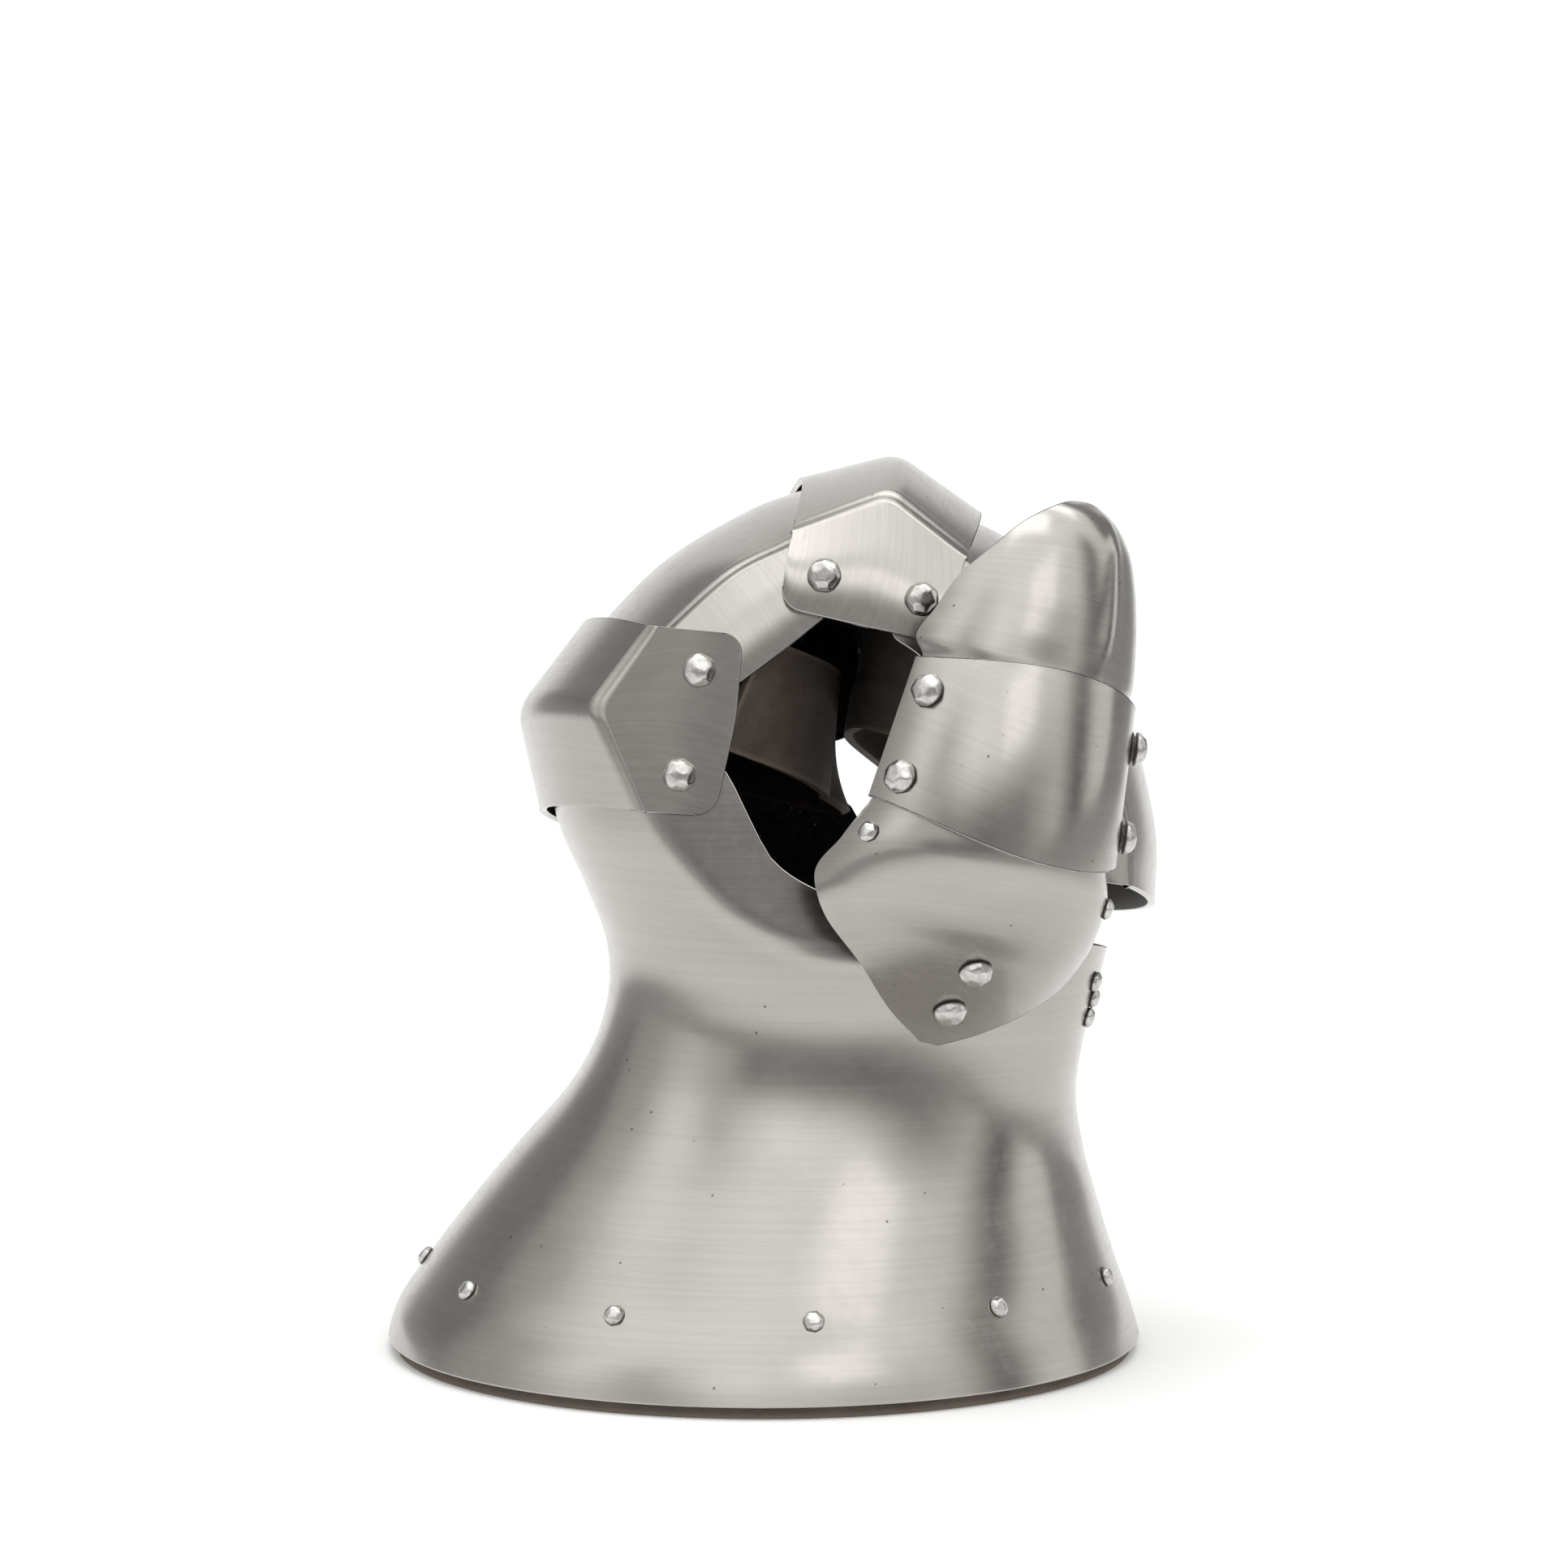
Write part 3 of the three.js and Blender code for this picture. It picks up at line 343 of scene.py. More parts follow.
def plate_row(stations, v, ridge):
    """Apex, crease and edge at a share of the way along a plate."""
    if not ridge:
        rows = dict(stations, v=np.linspace(0, 1, len(stations["apexX"])))
        return [smooth_column(rows, "v", column, v) for column in PLATE_COLUMNS.split()]
    bend = soft_min(2 * v, 1, ridge)
    rest = -soft_min(1 - 2 * v, 0, ridge)
    return [c[0] + (c[1] - c[0]) * bend + (c[2] - c[1]) * rest
            for c in (stations[column] for column in PLATE_COLUMNS.split())]


def plate_surface(stations, half_width, ridge=0):
    """A boxy gutter: a crowned back from crease to crease and a flat flange on each side."""
    beta = CROWN_HALF_ANGLE
    length = math.hypot(*(stations[column][-1] - stations[column][0] for column in ("edgeX", "edgeZ")))

    def sharp(u, v, row):
        apex_x, apex_z, crease_x, crease_z, edge_x, edge_z = row
        side = 2 * u - 1
        across = np.abs(side)
        turn = beta * np.minimum(across / CROWN_SHARE, 1)
        rise = (np.cos(turn) - math.cos(beta)) / (1 - math.cos(beta))
        inset = np.clip(CORNER_RADIUS - np.minimum(v, 1 - v) * length, 0, CORNER_RADIUS)
        rounding = CORNER_RADIUS - np.sqrt(CORNER_RADIUS ** 2 - inset ** 2)
        width = np.hypot(edge_x - crease_x, edge_z - crease_z)
        out = np.maximum(across - CROWN_SHARE, 0) / (1 - CROWN_SHARE) * (1 - rounding / width)
        x = crease_x + (apex_x - crease_x) * rise + (edge_x - crease_x) * out
        z = crease_z + (apex_z - crease_z) * rise + (edge_z - crease_z) * out
        y = -np.sign(side) * half_width * np.sin(turn) / math.sin(beta)
        return np.stack([x, y, z], -1)

    def surface(u, v):
        row = plate_row(stations, v, ridge)
        crease = np.abs(np.abs(2 * u - 1) - CROWN_SHARE)
        spread = CREASE_ROUND * np.clip(1 - crease / CREASE_REACH, 0, 1)
        shifts = np.linspace(-1, 1, 7)
        points = sum(sharp(u + spread * shift, v, row) for shift in shifts) / len(shifts)
        return from_mitten(points)
    return surface


def camber(surface, degrees):
    """How far the face of a plate's flange leans towards the crown, most of all at the crease."""
    def lean(u, v):
        side = 2 * u - 1
        out = (np.abs(side) - CROWN_SHARE) / (1 - CROWN_SHARE)
        inward = unit(surface(u - np.sign(side) * STEP, v) - surface(u, v))
        fall = np.clip((0.9 - out) / 0.65, 0, 1)
        onset = np.clip(out * (1 - CROWN_SHARE) / (4 * CREASE_ROUND) + 0.5, 0, 1)
        weight = math.tan(math.radians(degrees)) * fall * fall * (3 - 2 * fall) * onset
        return inward * weight[..., None]
    return lean


def gutter_surface(stations, keel=0, cap=0):
    """A round gutter through stations, with a soft keel along it and its top corners rounded off."""
    def surface(u, v):
        z = lerp(stations["z"][0], stations["z"][-1], v)
        top, radius, left, right = (
            smooth_column(stations, "z", column, z) for column in STATION_COLUMNS.split()[1:])
        x = lerp(left, right, u)
        reach = np.minimum(np.abs(x), radius * STEEPEST_WALL)
        depth = top + radius - np.sqrt(radius ** 2 - reach ** 2)
        ridge = np.exp(-((u - KEEL["place"]) / KEEL["width"]) ** 2)
        depth = depth - keel * ridge * np.clip(np.minimum((1 - v) * 6, (v - KEEL["start"]) * 5), 0, 1)
        corner = np.hypot(np.minimum(u, 1 - u) * (right - left), (1 - v) * TIP_EDGE_LENGTH)
        z = z - cap * np.clip(1 - corner / TIP_CORNER, 0, 1) ** 2
        return from_thumb(np.stack([x, depth, z], -1))
    return surface


def mid_radius(z):
    return THUMB_RADIUS - THUMB_TAPER * z


def mid_surface(u, v):
    """The middle thumb plate: a cone whose upper and lower edges bow apart."""
    turn = np.radians(lerp(*MID_WRAP, u))
    across = np.sin(turn)
    lower = MID_EDGES["lower"] + MID_EDGES["lower_rise"] * across ** 2
    upper = MID_EDGES["upper"] - MID_EDGES["upper_drop"] * across ** 2
    z = lerp(lower, upper, v)
    radius = mid_radius(z)
    return from_thumb(np.stack([radius * across, THUMB_AXIS_DEPTH - radius * np.cos(turn), z], -1))


def bowed(foot, top):
    """How far the face of a thumb plate leans up, from its foot to its top, in degrees."""
    up = THUMB_TURN @ np.array([0, 0, 1.0])
    return lambda u, v: np.tan(np.radians(lerp(foot, top, v)))[..., None] * up


def strap_surface(strap, lap=0):
    """A leather loop that hangs slack, with a lapped fold along its middle."""
    def surface(u, v):
        across = 2 * u - 1
        slack = 1 - np.abs(across) ** 2.4
        top_x, top_z, foot_x, foot_z = (lerp(a, b, slack) for a, b in zip(strap["side"], strap["middle"]))
        fold = lap / (1 + np.exp(-(v - 0.55) * 90))
        ripple = 0.25 * np.sin(across * 9 + v * 2) * np.clip(1 - across ** 2, 0, 1)
        droop = np.sin(np.pi * np.clip(across, 0, 1)) * v ** 2
        x = lerp(top_x, foot_x, v) + strap["sag"][0] * droop - fold + ripple
        z = lerp(top_z, foot_z, v) + strap["sag"][1] * droop
        return from_mitten(np.stack([x, across * (STRAP_HALF_WIDTH - strap["end_gap"]), z], -1))
    return surface


def hinge_surface(u, v):
    """The leather tab that the thumb hangs on: up inside the body, over its edge and down outside."""
    angle = np.radians(lerp(HINGE["from"], HINGE["to"], u))
    over = np.clip((v - 0.4) / 0.2, 0, 1)
    up = np.minimum(np.minimum(v, 1 - v) / 0.4, 1)
    z = lerp(np.where(v < 0.5, HINGE["foot"], HINGE["outer_foot"]), body_top(angle), up)
    clear = HINGE["standoff"] + LEATHER / 2
    offset = lerp(-STEEL - clear, clear, (1 - np.cos(over * np.pi)) / 2)
    point = body_point(angle, z) + body_normal(angle, z) * offset[..., None]
    point[..., 2] += np.sin(over * np.pi) * HINGE["rise"]
    return point


# Meshes

def new_object(name, vertices, faces, attributes, material, body, slot, nodes):
    """A smooth mesh object in metres that rides on a body and stands for CAD nodes."""
    mesh = bpy.data.meshes.new(name)
    mesh.from_pydata(((np.asarray(vertices) + SHIFT) / 1000).tolist(), [], faces)
    mesh.polygons.foreach_set("use_smooth", [True] * len(mesh.polygons))
    normals = attributes.pop("normals", None)
    for key, values in attributes.items():
        values = np.asarray(values, np.float32)
        if values.ndim == 1:
            mesh.attributes.new(key, "FLOAT", "POINT").data.foreach_set("value", values)
        else:
            mesh.attributes.new(key, "FLOAT_VECTOR", "POINT").data.foreach_set("vector", values.ravel())
    mesh.validate()
    mesh.update()
    if normals is not None:
        mesh.normals_split_custom_set_from_vertices(normals.tolist())
    obj = bpy.data.objects.new(name, mesh)
    bpy.context.scene.collection.objects.link(obj)
    mesh.materials.append(material)
    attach(obj, body)
    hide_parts(*nodes)
    return obj


def steps(count, closed=False, fine=0.004):
    """Even steps from 0 to 1, with a narrow one at each end so that edges stay crisp."""
    if closed:
        return np.arange(count) / count
    even = np.linspace(0, 1, count + 1)
    return np.concatenate([[0, fine], even[1:-1], [1 - fine, 1]])


def shell(surface, us, vs, outer, inner, closed=False, level=False, upright=False, seed=0.0,
          rough=None, tilt=None):
    """Vertices, faces and grain of a sheet of metal, leather or cloth with rounded edges."""
    u, v = np.meshgrid(us, vs)
    middle = surface(u, v)
    along = surface(u + STEP, v) - surface(u - STEP, v)
    up = surface(u, np.minimum(v + STEP, 1)) - surface(u, np.maximum(v - STEP, 0))
    normal = unit(np.cross(along, up))
    if level:
        normal[..., 2] = 0
        normal /= np.sum(normal ** 2, -1, keepdims=True)
    if rough is not None:
        middle = middle + normal * rough(middle)[..., None]
    rows, columns = u.shape
    across_step = np.linalg.norm(np.diff(middle, axis=1), axis=-1)
    along_step = np.linalg.norm(np.diff(middle, axis=0), axis=-1)
    s = np.concatenate([np.zeros((rows, 1)), np.cumsum(across_step, 1)], 1)
    t = np.concatenate([np.zeros((1, columns)), np.cumsum(along_step, 0)], 0)
    edge = np.minimum(t, t[-1:] - t)
    if not closed:
        edge = np.minimum(edge, np.minimum(s, s[:, -1:] - s))
    grain = middle.copy() if upright else np.stack([s, np.full_like(s, seed * 17.0), t], -1)

    out = np.zeros_like(middle)
    out[0] -= unit(middle[1] - middle[0])
    out[-1] += unit(middle[-1] - middle[-2])
    if not closed:
        out[:, 0] -= unit(middle[:, 1] - middle[:, 0])
        out[:, -1] += unit(middle[:, -1] - middle[:, -2])
    out = unit(out) * (np.linalg.norm(out, axis=-1, keepdims=True) > 0)
    pulled = middle - out * EDGE_ROUND

    index = np.arange(rows * columns).reshape(rows, columns)
    if closed:
        loops = [index[0], index[-1][::-1]]
        wrapped = np.concatenate([index, index[:, :1]], 1)
    else:
        loops = [np.concatenate([index[0], index[1:, -1], index[-1, -2::-1], index[-2:0:-1, 0]])]
        wrapped = index
    a, b, c, d = wrapped[:-1, :-1], wrapped[:-1, 1:], wrapped[1:, 1:], wrapped[1:, :-1]
    count = rows * columns
    faces = [np.stack([a, b, c, d], -1).reshape(-1, 4), np.stack([a, d, c, b], -1).reshape(-1, 4) + count]

    def flat(grid):
        return grid.reshape(count, -1)

    positions = [flat(pulled + normal * outer), flat(pulled + normal * inner)]
    grains, brushes, edges = [flat(grain)] * 2, [flat(unit(along))] * 2, [edge.ravel()] * 2
    lean = normal if tilt is None else unit(normal + tilt(u, v))
    normals, insides = [flat(lean), flat(-lean)], [np.zeros(count), np.ones(count)]
    thickness = outer - inner
    through = thickness / EDGE_ROUND
    rim = [(0.7, 0.3, 1), (1, 1, 0), (1, through - 1, 0), (0.7, through - 0.3, -1)]
    start = 2 * count
    for loop in loops:
        size = len(loop)
        rings = [loop]
        for reach, depth, facing in rim:
            spot = flat(pulled)[loop] + flat(out)[loop] * EDGE_ROUND * reach
            positions.append(spot + flat(normal)[loop] * (outer - depth * EDGE_ROUND))
            normals.append(unit(flat(out)[loop] + facing * flat(normal)[loop]))
            insides.append(np.zeros(size))
            grains.append(flat(grain)[loop])
            brushes.append(flat(unit(along))[loop])
            edges.append(np.zeros(size))
            rings.append(np.arange(start, start + size))
            start += size
        rings.append(loop + count)
        for upper, lower in zip(rings, rings[1:]):
            faces.append(np.stack([lower, np.roll(lower, -1), np.roll(upper, -1), upper], -1))
    attributes = {
        "grain": np.concatenate(grains), "brush": np.concatenate(brushes), "edge": np.concatenate(edges),
        "inside": np.concatenate(insides)}
    if rough is None:
        attributes["normals"] = np.concatenate(normals)
    return np.concatenate(positions), np.concatenate(faces).tolist(), attributes


def standing(point, direction):
    """The rotation and place that stand a piece made about +Z on a point."""
    direction = unit(np.asarray(direction, float))
    side = unit(np.cross(direction, [0.3, 0.5, 0.81]))
    return np.stack([side, np.cross(direction, side), direction], 1), np.asarray(point, float)


def rivet_mesh(rivet, place, grip, seed, inner_head=False, neck=0.0):
    """A hammered dome: rings about an axis, cut back to flat hammer marks."""
    rng = np.random.default_rng(seed)
    head, height, shank = rivet["head"], rivet["height"], rivet["shank"]
    rise = RIVET_SEAT + height
    profile = []
    if inner_head:
        under = -grip - RIVET_SEAT
        profile += [(0.01, under - INNER_HEAD_HEIGHT), (head * 0.6, under - INNER_HEAD_HEIGHT + 0.05)]
        profile += [(head * 0.72, under - 0.45), (head * 0.75, under)]
    else:
        profile += [(0.01, -grip)]
    profile += [(shank, -grip), (shank, -0.3), (head * 0.9, -0.05)]
    if neck:
        profile += [(head * 0.97, 0.12), (head * 0.96, 0.35)]
        profile += [(head * 0.74, 0.42), (head * 0.74, RIVET_SEAT + neck - 0.05)]
    dome = len(profile)
    for turn in np.radians([-8, 2, 12, 22, 32, 42, 51, 60, 68, 76, 83]):
        radius = head * max(math.cos(turn), 0) ** 0.8
        profile.append((radius, neck + RIVET_SEAT + height * (0.12 + 0.88 * math.sin(max(turn, -0.1)))))
    profile.append((0.01, neck + rise))
    sides = 48
    turn = np.arange(sides) / sides * 2 * np.pi
    rings = np.array([[[r * math.cos(a), r * math.sin(a), z] for a in turn] for r, z in profile])
    points = rings[dome:].reshape(-1, 3)
    middle = np.array([0, 0, neck + RIVET_SEAT])
    for lift, count in HAMMER_MARKS:
        start = rng.uniform(0, 2 * np.pi)
        for mark in range(count):
            a = start + (mark + rng.uniform(-0.2, 0.2)) / count * 2 * np.pi
            up = lift + rng.uniform(-0.06, 0)
            level = math.sqrt(1 - up ** 2)
            facing = np.array([math.cos(a) * level, math.sin(a) * level, up])
            support = np.max((points - middle) @ facing)
            over = np.maximum((points - middle) @ facing - support * rng.uniform(0.9, 0.95), 0)
            points = points - over[:, None] * facing
    rings[dome:] = points.reshape(rings[dome:].shape)
    rotation, origin = place
    vertices = rings.reshape(-1, 3) @ rotation.T + origin
    index = np.arange(len(profile) * sides).reshape(len(profile), sides)
    wrapped = np.concatenate([index, index[:, :1]], 1)
    corners = [wrapped[:-1, :-1], wrapped[:-1, 1:], wrapped[1:, 1:], wrapped[1:, :-1]]
    faces = np.stack(corners, -1).reshape(-1, 4).tolist()
    faces += [index[0][::-1].tolist(), index[-1].tolist()]
    above = np.clip((rings[..., 2] - neck - 0.1) / height, 0, 1).ravel()
    return vertices, faces, {"height": above, "grain": rings.reshape(-1, 3) + seed * 7.0}


# Materials

class Nodes:
    """Short calls for building the nodes of a material or of the world."""

    def __init__(self, owner):
        owner.use_nodes = True
        self.owner = owner
        self.tree = owner.node_tree

    def add(self, kind, inputs=None, **settings):
        node = self.tree.nodes.new(kind)
        for key, value in settings.items():
            setattr(node, key, value)
        for key, value in (inputs or {}).items():
            self.put(node.inputs[key], value)
        return node

    def put(self, socket, value):
        if isinstance(value, bpy.types.NodeSocket):
            self.tree.links.new(value, socket)
        else:
            socket.default_value = value

    def attribute(self, name, output="Vector"):
        return self.add("ShaderNodeAttribute", attribute_name=name).outputs[output]

    def noise(self, vector, scale, stretch=(1, 1, 1), detail=2.0, rough=0.5):
        spot = self.add("ShaderNodeMapping", {"Vector": vector, "Scale": stretch}).outputs["Vector"]
        inputs = {"Vector": spot, "Scale": scale, "Detail": detail, "Roughness": rough}
        return self.add("ShaderNodeTexNoise", inputs).outputs["Fac"]

    def span(self, value, from_low, from_high, to_low, to_high):
        inputs = {
            "Value": value, "From Min": from_low, "From Max": from_high, "To Min": to_low, "To Max": to_high}
        return self.add("ShaderNodeMapRange", inputs, interpolation_type="SMOOTHSTEP").outputs["Result"]

    def math(self, operation, a, b):
        return self.add("ShaderNodeMath", {0: a, 1: b}, operation=operation).outputs["Value"]

    def mix(self, factor, a, b):
        node = self.add("ShaderNodeMix", data_type="RGBA")
        self.put(node.inputs["Factor"], factor)
        self.put(node.inputs[6], a)
        self.put(node.inputs[7], b)
        return node.outputs[2]

    def bump(self, height, strength, distance, normal=None):
        node = self.add("ShaderNodeBump", {"Height": height, "Strength": strength, "Distance": distance})
        if normal is not None:
            self.put(node.inputs["Normal"], normal)
        return node.outputs["Normal"]

    def finish(self, **inputs):
        shader = self.tree.nodes["Principled BSDF"]
        for key, value in inputs.items():
            self.put(shader.inputs[key.replace("_", " ")], value)
        return self.owner


def steel_material():
    n = Nodes(bpy.data.materials.new("satin_steel"))
    grain = n.attribute("grain")
    fine = n.noise(grain, 1.0, (0.03, 0.03, 5.0), 2, 0.5)
    streak = n.noise(grain, 1.0, (0.015, 0.015, 1.1), 3, 0.6)
    smudge = n.noise(grain, 0.04, detail=4, rough=0.6)
    patch = n.noise(grain, 0.3, detail=3, rough=0.7)
    cells = n.add("ShaderNodeTexVoronoi", {"Vector": grain, "Scale": 0.16})
    chosen = n.add("ShaderNodeSeparateColor", {"Color": cells.outputs["Color"]})
    pit = n.math("MULTIPLY", n.span(cells.outputs["Distance"], 0.02, 0.06, 1, 0),
                 n.span(chosen.outputs["Red"], 0.2, 0.24, 0, 1))
    scratched = n.add(
        "ShaderNodeMapping", {"Vector": grain, "Scale": (0.12, 0.6, 0.6), "Rotation": (0.3, 0.9, 0.4)})
    lines = n.add("ShaderNodeTexVoronoi", {"Vector": scratched.outputs["Vector"], "Scale": 0.2})
    line_choice = n.add("ShaderNodeSeparateColor", {"Color": lines.outputs["Color"]})
    scratch = n.math("MULTIPLY", n.span(lines.outputs["Distance"], 0.01, 0.025, 1, 0),
                     n.span(line_choice.outputs["Green"], 0.3, 0.34, 0, 1))
    worn = n.span(n.attribute("edge", "Fac"), 0.02, 0.4, 1, 0)
    inside = n.attribute("inside", "Fac")
    tone = n.mix(n.span(streak, 0.35, 0.65, 0, 1), (0.4, 0.382, 0.36, 1), (0.42, 0.402, 0.379, 1))
    tone = n.mix(n.span(smudge, 0.5, 0.75, 0, 0.35), tone, (0.33, 0.312, 0.292, 1))
    tone = n.mix(n.math("MULTIPLY", worn, 0.5), tone, (0.56, 0.545, 0.525, 1))
    tone = n.mix(n.math("MULTIPLY", pit, 0.8), tone, (0.06, 0.05, 0.045, 1))
    tone = n.mix(n.math("MULTIPLY", scratch, 0.5), tone, (0.17, 0.16, 0.15, 1))
    # Painted shade: the inner faces of the plates are painted nearly black, as shade inside the hollow
    # shell.
    tone = n.mix(n.math("MULTIPLY", inside, 0.9), tone, (0.06, 0.055, 0.052, 1))
    rough = n.math("ADD", n.span(fine, 0.25, 0.75, 0.17, 0.21), n.span(patch, 0.4, 0.75, 0, 0.05))
    rough = n.math("ADD", rough, n.math("MULTIPLY", inside, 0.25))
    normal = n.bump(fine, 0.02, 0.00003)
    normal = n.bump(n.math("ADD", pit, scratch), -0.4, 0.0001, normal)
    world = n.add("ShaderNodeVectorTransform", {"Vector": n.attribute("brush")},
                  vector_type="VECTOR", convert_from="OBJECT", convert_to="WORLD")
    return n.finish(Base_Color=tone, Metallic=1.0, Roughness=rough, Normal=normal, Anisotropic=0.3,
                    Tangent=world.outputs["Vector"])


def rivet_material():
    n = Nodes(bpy.data.materials.new("hammered_rivet"))
    grain = n.attribute("grain")
    height = n.attribute("height", "Fac")
    patch = n.noise(grain, 0.9, detail=3)
    fine = n.noise(grain, 5.0, detail=3, rough=0.7)
    # Painted shade: the lowest part of each head, where it meets the plate, is painted dark and made
    # rougher.
    painted_base_shade = n.span(height, 0.0, 0.3, 0.85, 0)
    tone = n.mix(n.span(patch, 0.4, 0.7, 0, 0.7), (0.6, 0.59, 0.57, 1), (0.42, 0.405, 0.39, 1))
    tone = n.mix(painted_base_shade, tone, (0.06, 0.055, 0.05, 1))
    rough = n.math("ADD", n.span(fine, 0.3, 0.7, 0.2, 0.32), n.math("MULTIPLY", painted_base_shade, 0.25))
    return n.finish(Base_Color=tone, Metallic=1.0, Roughness=rough, Normal=n.bump(fine, 0.15, 0.0001))


def leather_material():
    n = Nodes(bpy.data.materials.new("brown_leather"))
    grain = n.attribute("grain")
    cells = n.add("ShaderNodeTexVoronoi", {"Vector": grain, "Scale": 1.7}, feature="DISTANCE_TO_EDGE")
    pores = n.noise(grain, 2.6, detail=5, rough=0.7)
    blotch = n.noise(grain, 0.09, detail=4, rough=0.6)
    worn = n.span(n.attribute("edge", "Fac"), 0.1, 1.4, 1, 0)
    tone = n.mix(n.span(blotch, 0.35, 0.7, 0, 1), (0.075, 0.058, 0.047, 1), (0.12, 0.095, 0.079, 1))
    tone = n.mix(n.span(pores, 0.45, 0.7, 0, 0.6), tone, (0.165, 0.133, 0.11, 1))
    tone = n.mix(n.math("MULTIPLY", worn, 0.5), tone, (0.26, 0.205, 0.155, 1))
    normal = n.bump(n.span(cells.outputs["Distance"], 0, 0.16, 0, 1), 0.35, 0.00018)
    normal = n.bump(pores, 0.3, 0.00015, normal)
    return n.finish(Base_Color=tone, Roughness=n.span(pores, 0.3, 0.7, 0.58, 0.78), Normal=normal)


def lining_material():
    n = Nodes(bpy.data.materials.new("black_lining"))
    grain = n.attribute("grain")
    nap = n.noise(grain, 3.4, detail=5, rough=0.8)
    tuft = n.noise(grain, 0.5, detail=4, rough=0.7)
    lint = n.add("ShaderNodeTexVoronoi", {"Vector": grain, "Scale": 0.55})
    chosen = n.add("ShaderNodeSeparateColor", {"Color": lint.outputs["Color"]})
    speck = n.math("MULTIPLY", n.span(lint.outputs["Distance"], 0.08, 0.16, 1, 0),
                   n.span(chosen.outputs["Red"], 0.66, 0.7, 0, 1))
    tone = n.mix(n.span(tuft, 0.35, 0.7, 0, 1), (0.014, 0.012, 0.013, 1), (0.04, 0.034, 0.035, 1))
    tone = n.mix(n.span(nap, 0.55, 0.75, 0, 0.5), tone, (0.085, 0.074, 0.072, 1))
    tone = n.mix(n.math("MULTIPLY", speck, 0.8), tone, (0.5, 0.47, 0.43, 1))
    normal = n.bump(nap, 0.7, 0.0005)
    normal = n.bump(tuft, 0.5, 0.001, normal)
    return n.finish(Base_Color=tone, Roughness=n.span(nap, 0.3, 0.7, 0.85, 1), Normal=normal,
                    Sheen_Weight=0.3, Specular_IOR_Level=0.1)


steel = steel_material()
hammered = rivet_material()
leather = leather_material()
lining = lining_material()


# Steel plates

def add_plate(name, node, body, surface, us, vs, seed, **options):
    mesh = shell(surface, us, vs, 0, -STEEL, seed=seed, **options)
    return new_object(name, *mesh, steel, body, "steel", [node])


add_plate("body_shell", "hourglass_body", "gauntlet", body_surface, steps(220, True), steps(110), 0,
          closed=True, upright=True)
plate_us = steps(150)
for name, node, body, stations, half_width, ridge, lean, seed in [
    ("knuckle_shell_1", "knuckle_plate_1", "knuckle_1", KNUCKLE_1, KNUCKLE_HALF_WIDTH, RIDGE_WIDTH, 14, 1),
    ("finger_shell_1", "finger_plate_1", "finger_1", FINGER_1, FINGER_HALF_WIDTH, 0, 30, 2),
    ("knuckle_shell_2", "knuckle_plate_2", "knuckle_2", KNUCKLE_2, KNUCKLE_HALF_WIDTH, RIDGE_WIDTH, 30, 3),
    ("finger_shell_2", "finger_plate_2", "finger_2", FINGER_2, FINGER_HALF_WIDTH, 0, 20, 4),
]:
    surface = plate_surface(stations, half_width, ridge)
    add_plate(name, node, body, surface, plate_us, steps(72), seed, tilt=camber(surface, lean))
base_surface = gutter_surface(THUMB_BASE)
tip_surface = gutter_surface(THUMB_TIP, keel=0.7, cap=0.5)
add_plate("thumb_base_shell", "thumb_base", "gauntlet", base_surface, steps(80), steps(80), 5,
          tilt=bowed(1, -17))
add_plate("thumb_mid_shell", "thumb_mid", "thumb_mid", mid_surface, steps(90), steps(50), 6,
          tilt=bowed(-7, 15))
add_plate("thumb_tip_shell", "thumb_tip", "thumb_tip", tip_surface, steps(90), steps(80), 7,
          tilt=bowed(8, 0))

# Rivets

rivet_seeds = itertools.count(FIRST_RIVET_SEED)


def add_rivet(node, body, rivet, place, grip, **options):
    mesh = rivet_mesh(rivet, place, grip, next(rivet_seeds), **options)
    return new_object(node + "_head", *mesh, hammered, body, "rivet", [node])


def on_body(degrees, z):
    angle = np.array(math.radians(degrees))
    height = np.array(float(z))
    return standing(body_point(angle, height), body_normal(angle, height))


for i in range(CUFF_RIVETS["count"]):
    degrees = CUFF_RIVETS["first"] + 360 * i / CUFF_RIVETS["count"]
    place = on_body(degrees, CUFF_RIVETS["height"])
    add_rivet(f"cuff_rivet_{i + 1}", "gauntlet", SMALL_RIVET, place, STEEL)
for i, (degrees, z) in enumerate(PALM_RIVETS):
    add_rivet(f"palm_rivet_{i + 1}", "gauntlet", SMALL_RIVET, on_body(degrees, z), STEEL)
for pivot, (x, z) in PIVOTS.items():
    body = "knuckle_2" if "knuckle_2" in pivot else "knuckle_1"
    for side, sign in (("near", -1), ("far", 1)):
        seat = from_mitten(np.array([x, sign * KNUCKLE_HALF_WIDTH, z]))
        place = standing(seat, MITTEN_TURN @ np.array([0, sign, 0]))
        add_rivet(f"pivot_{pivot}_{side}", body, PIVOT_RIVET, place, PIVOT_GRIP, inner_head=True)
crown = plate_surface(FINGER_2, FINGER_HALF_WIDTH)(*(np.array(share) for share in STRAP_RIVET_PLACE))
add_rivet("strap_rivet", "finger_2", SMALL_RIVET, standing(crown, MITTEN_TURN @ np.array([1, 0, 0])), STEEL)
for level, z in (("base", 0.0), ("tip", THUMB_PIVOT_SPACING)):
    for side, sign in (("left", -1), ("right", 1)):
        turn = math.radians(sign * THUMB_RIVET_ANGLE)
        outward = np.array([math.sin(turn), -math.cos(turn), 0])
        seat = from_thumb(np.array([0, THUMB_AXIS_DEPTH, z]) + outward * mid_radius(z))
        place = standing(seat, THUMB_TURN @ (outward + [0, 0, THUMB_TAPER]))
        add_rivet(f"thumb_pivot_{level}_{side}", "thumb_mid", PIVOT_RIVET, place, THUMB_GRIP,
                  inner_head=True, neck=RIGHT_NECK if sign > 0 else 0.0)
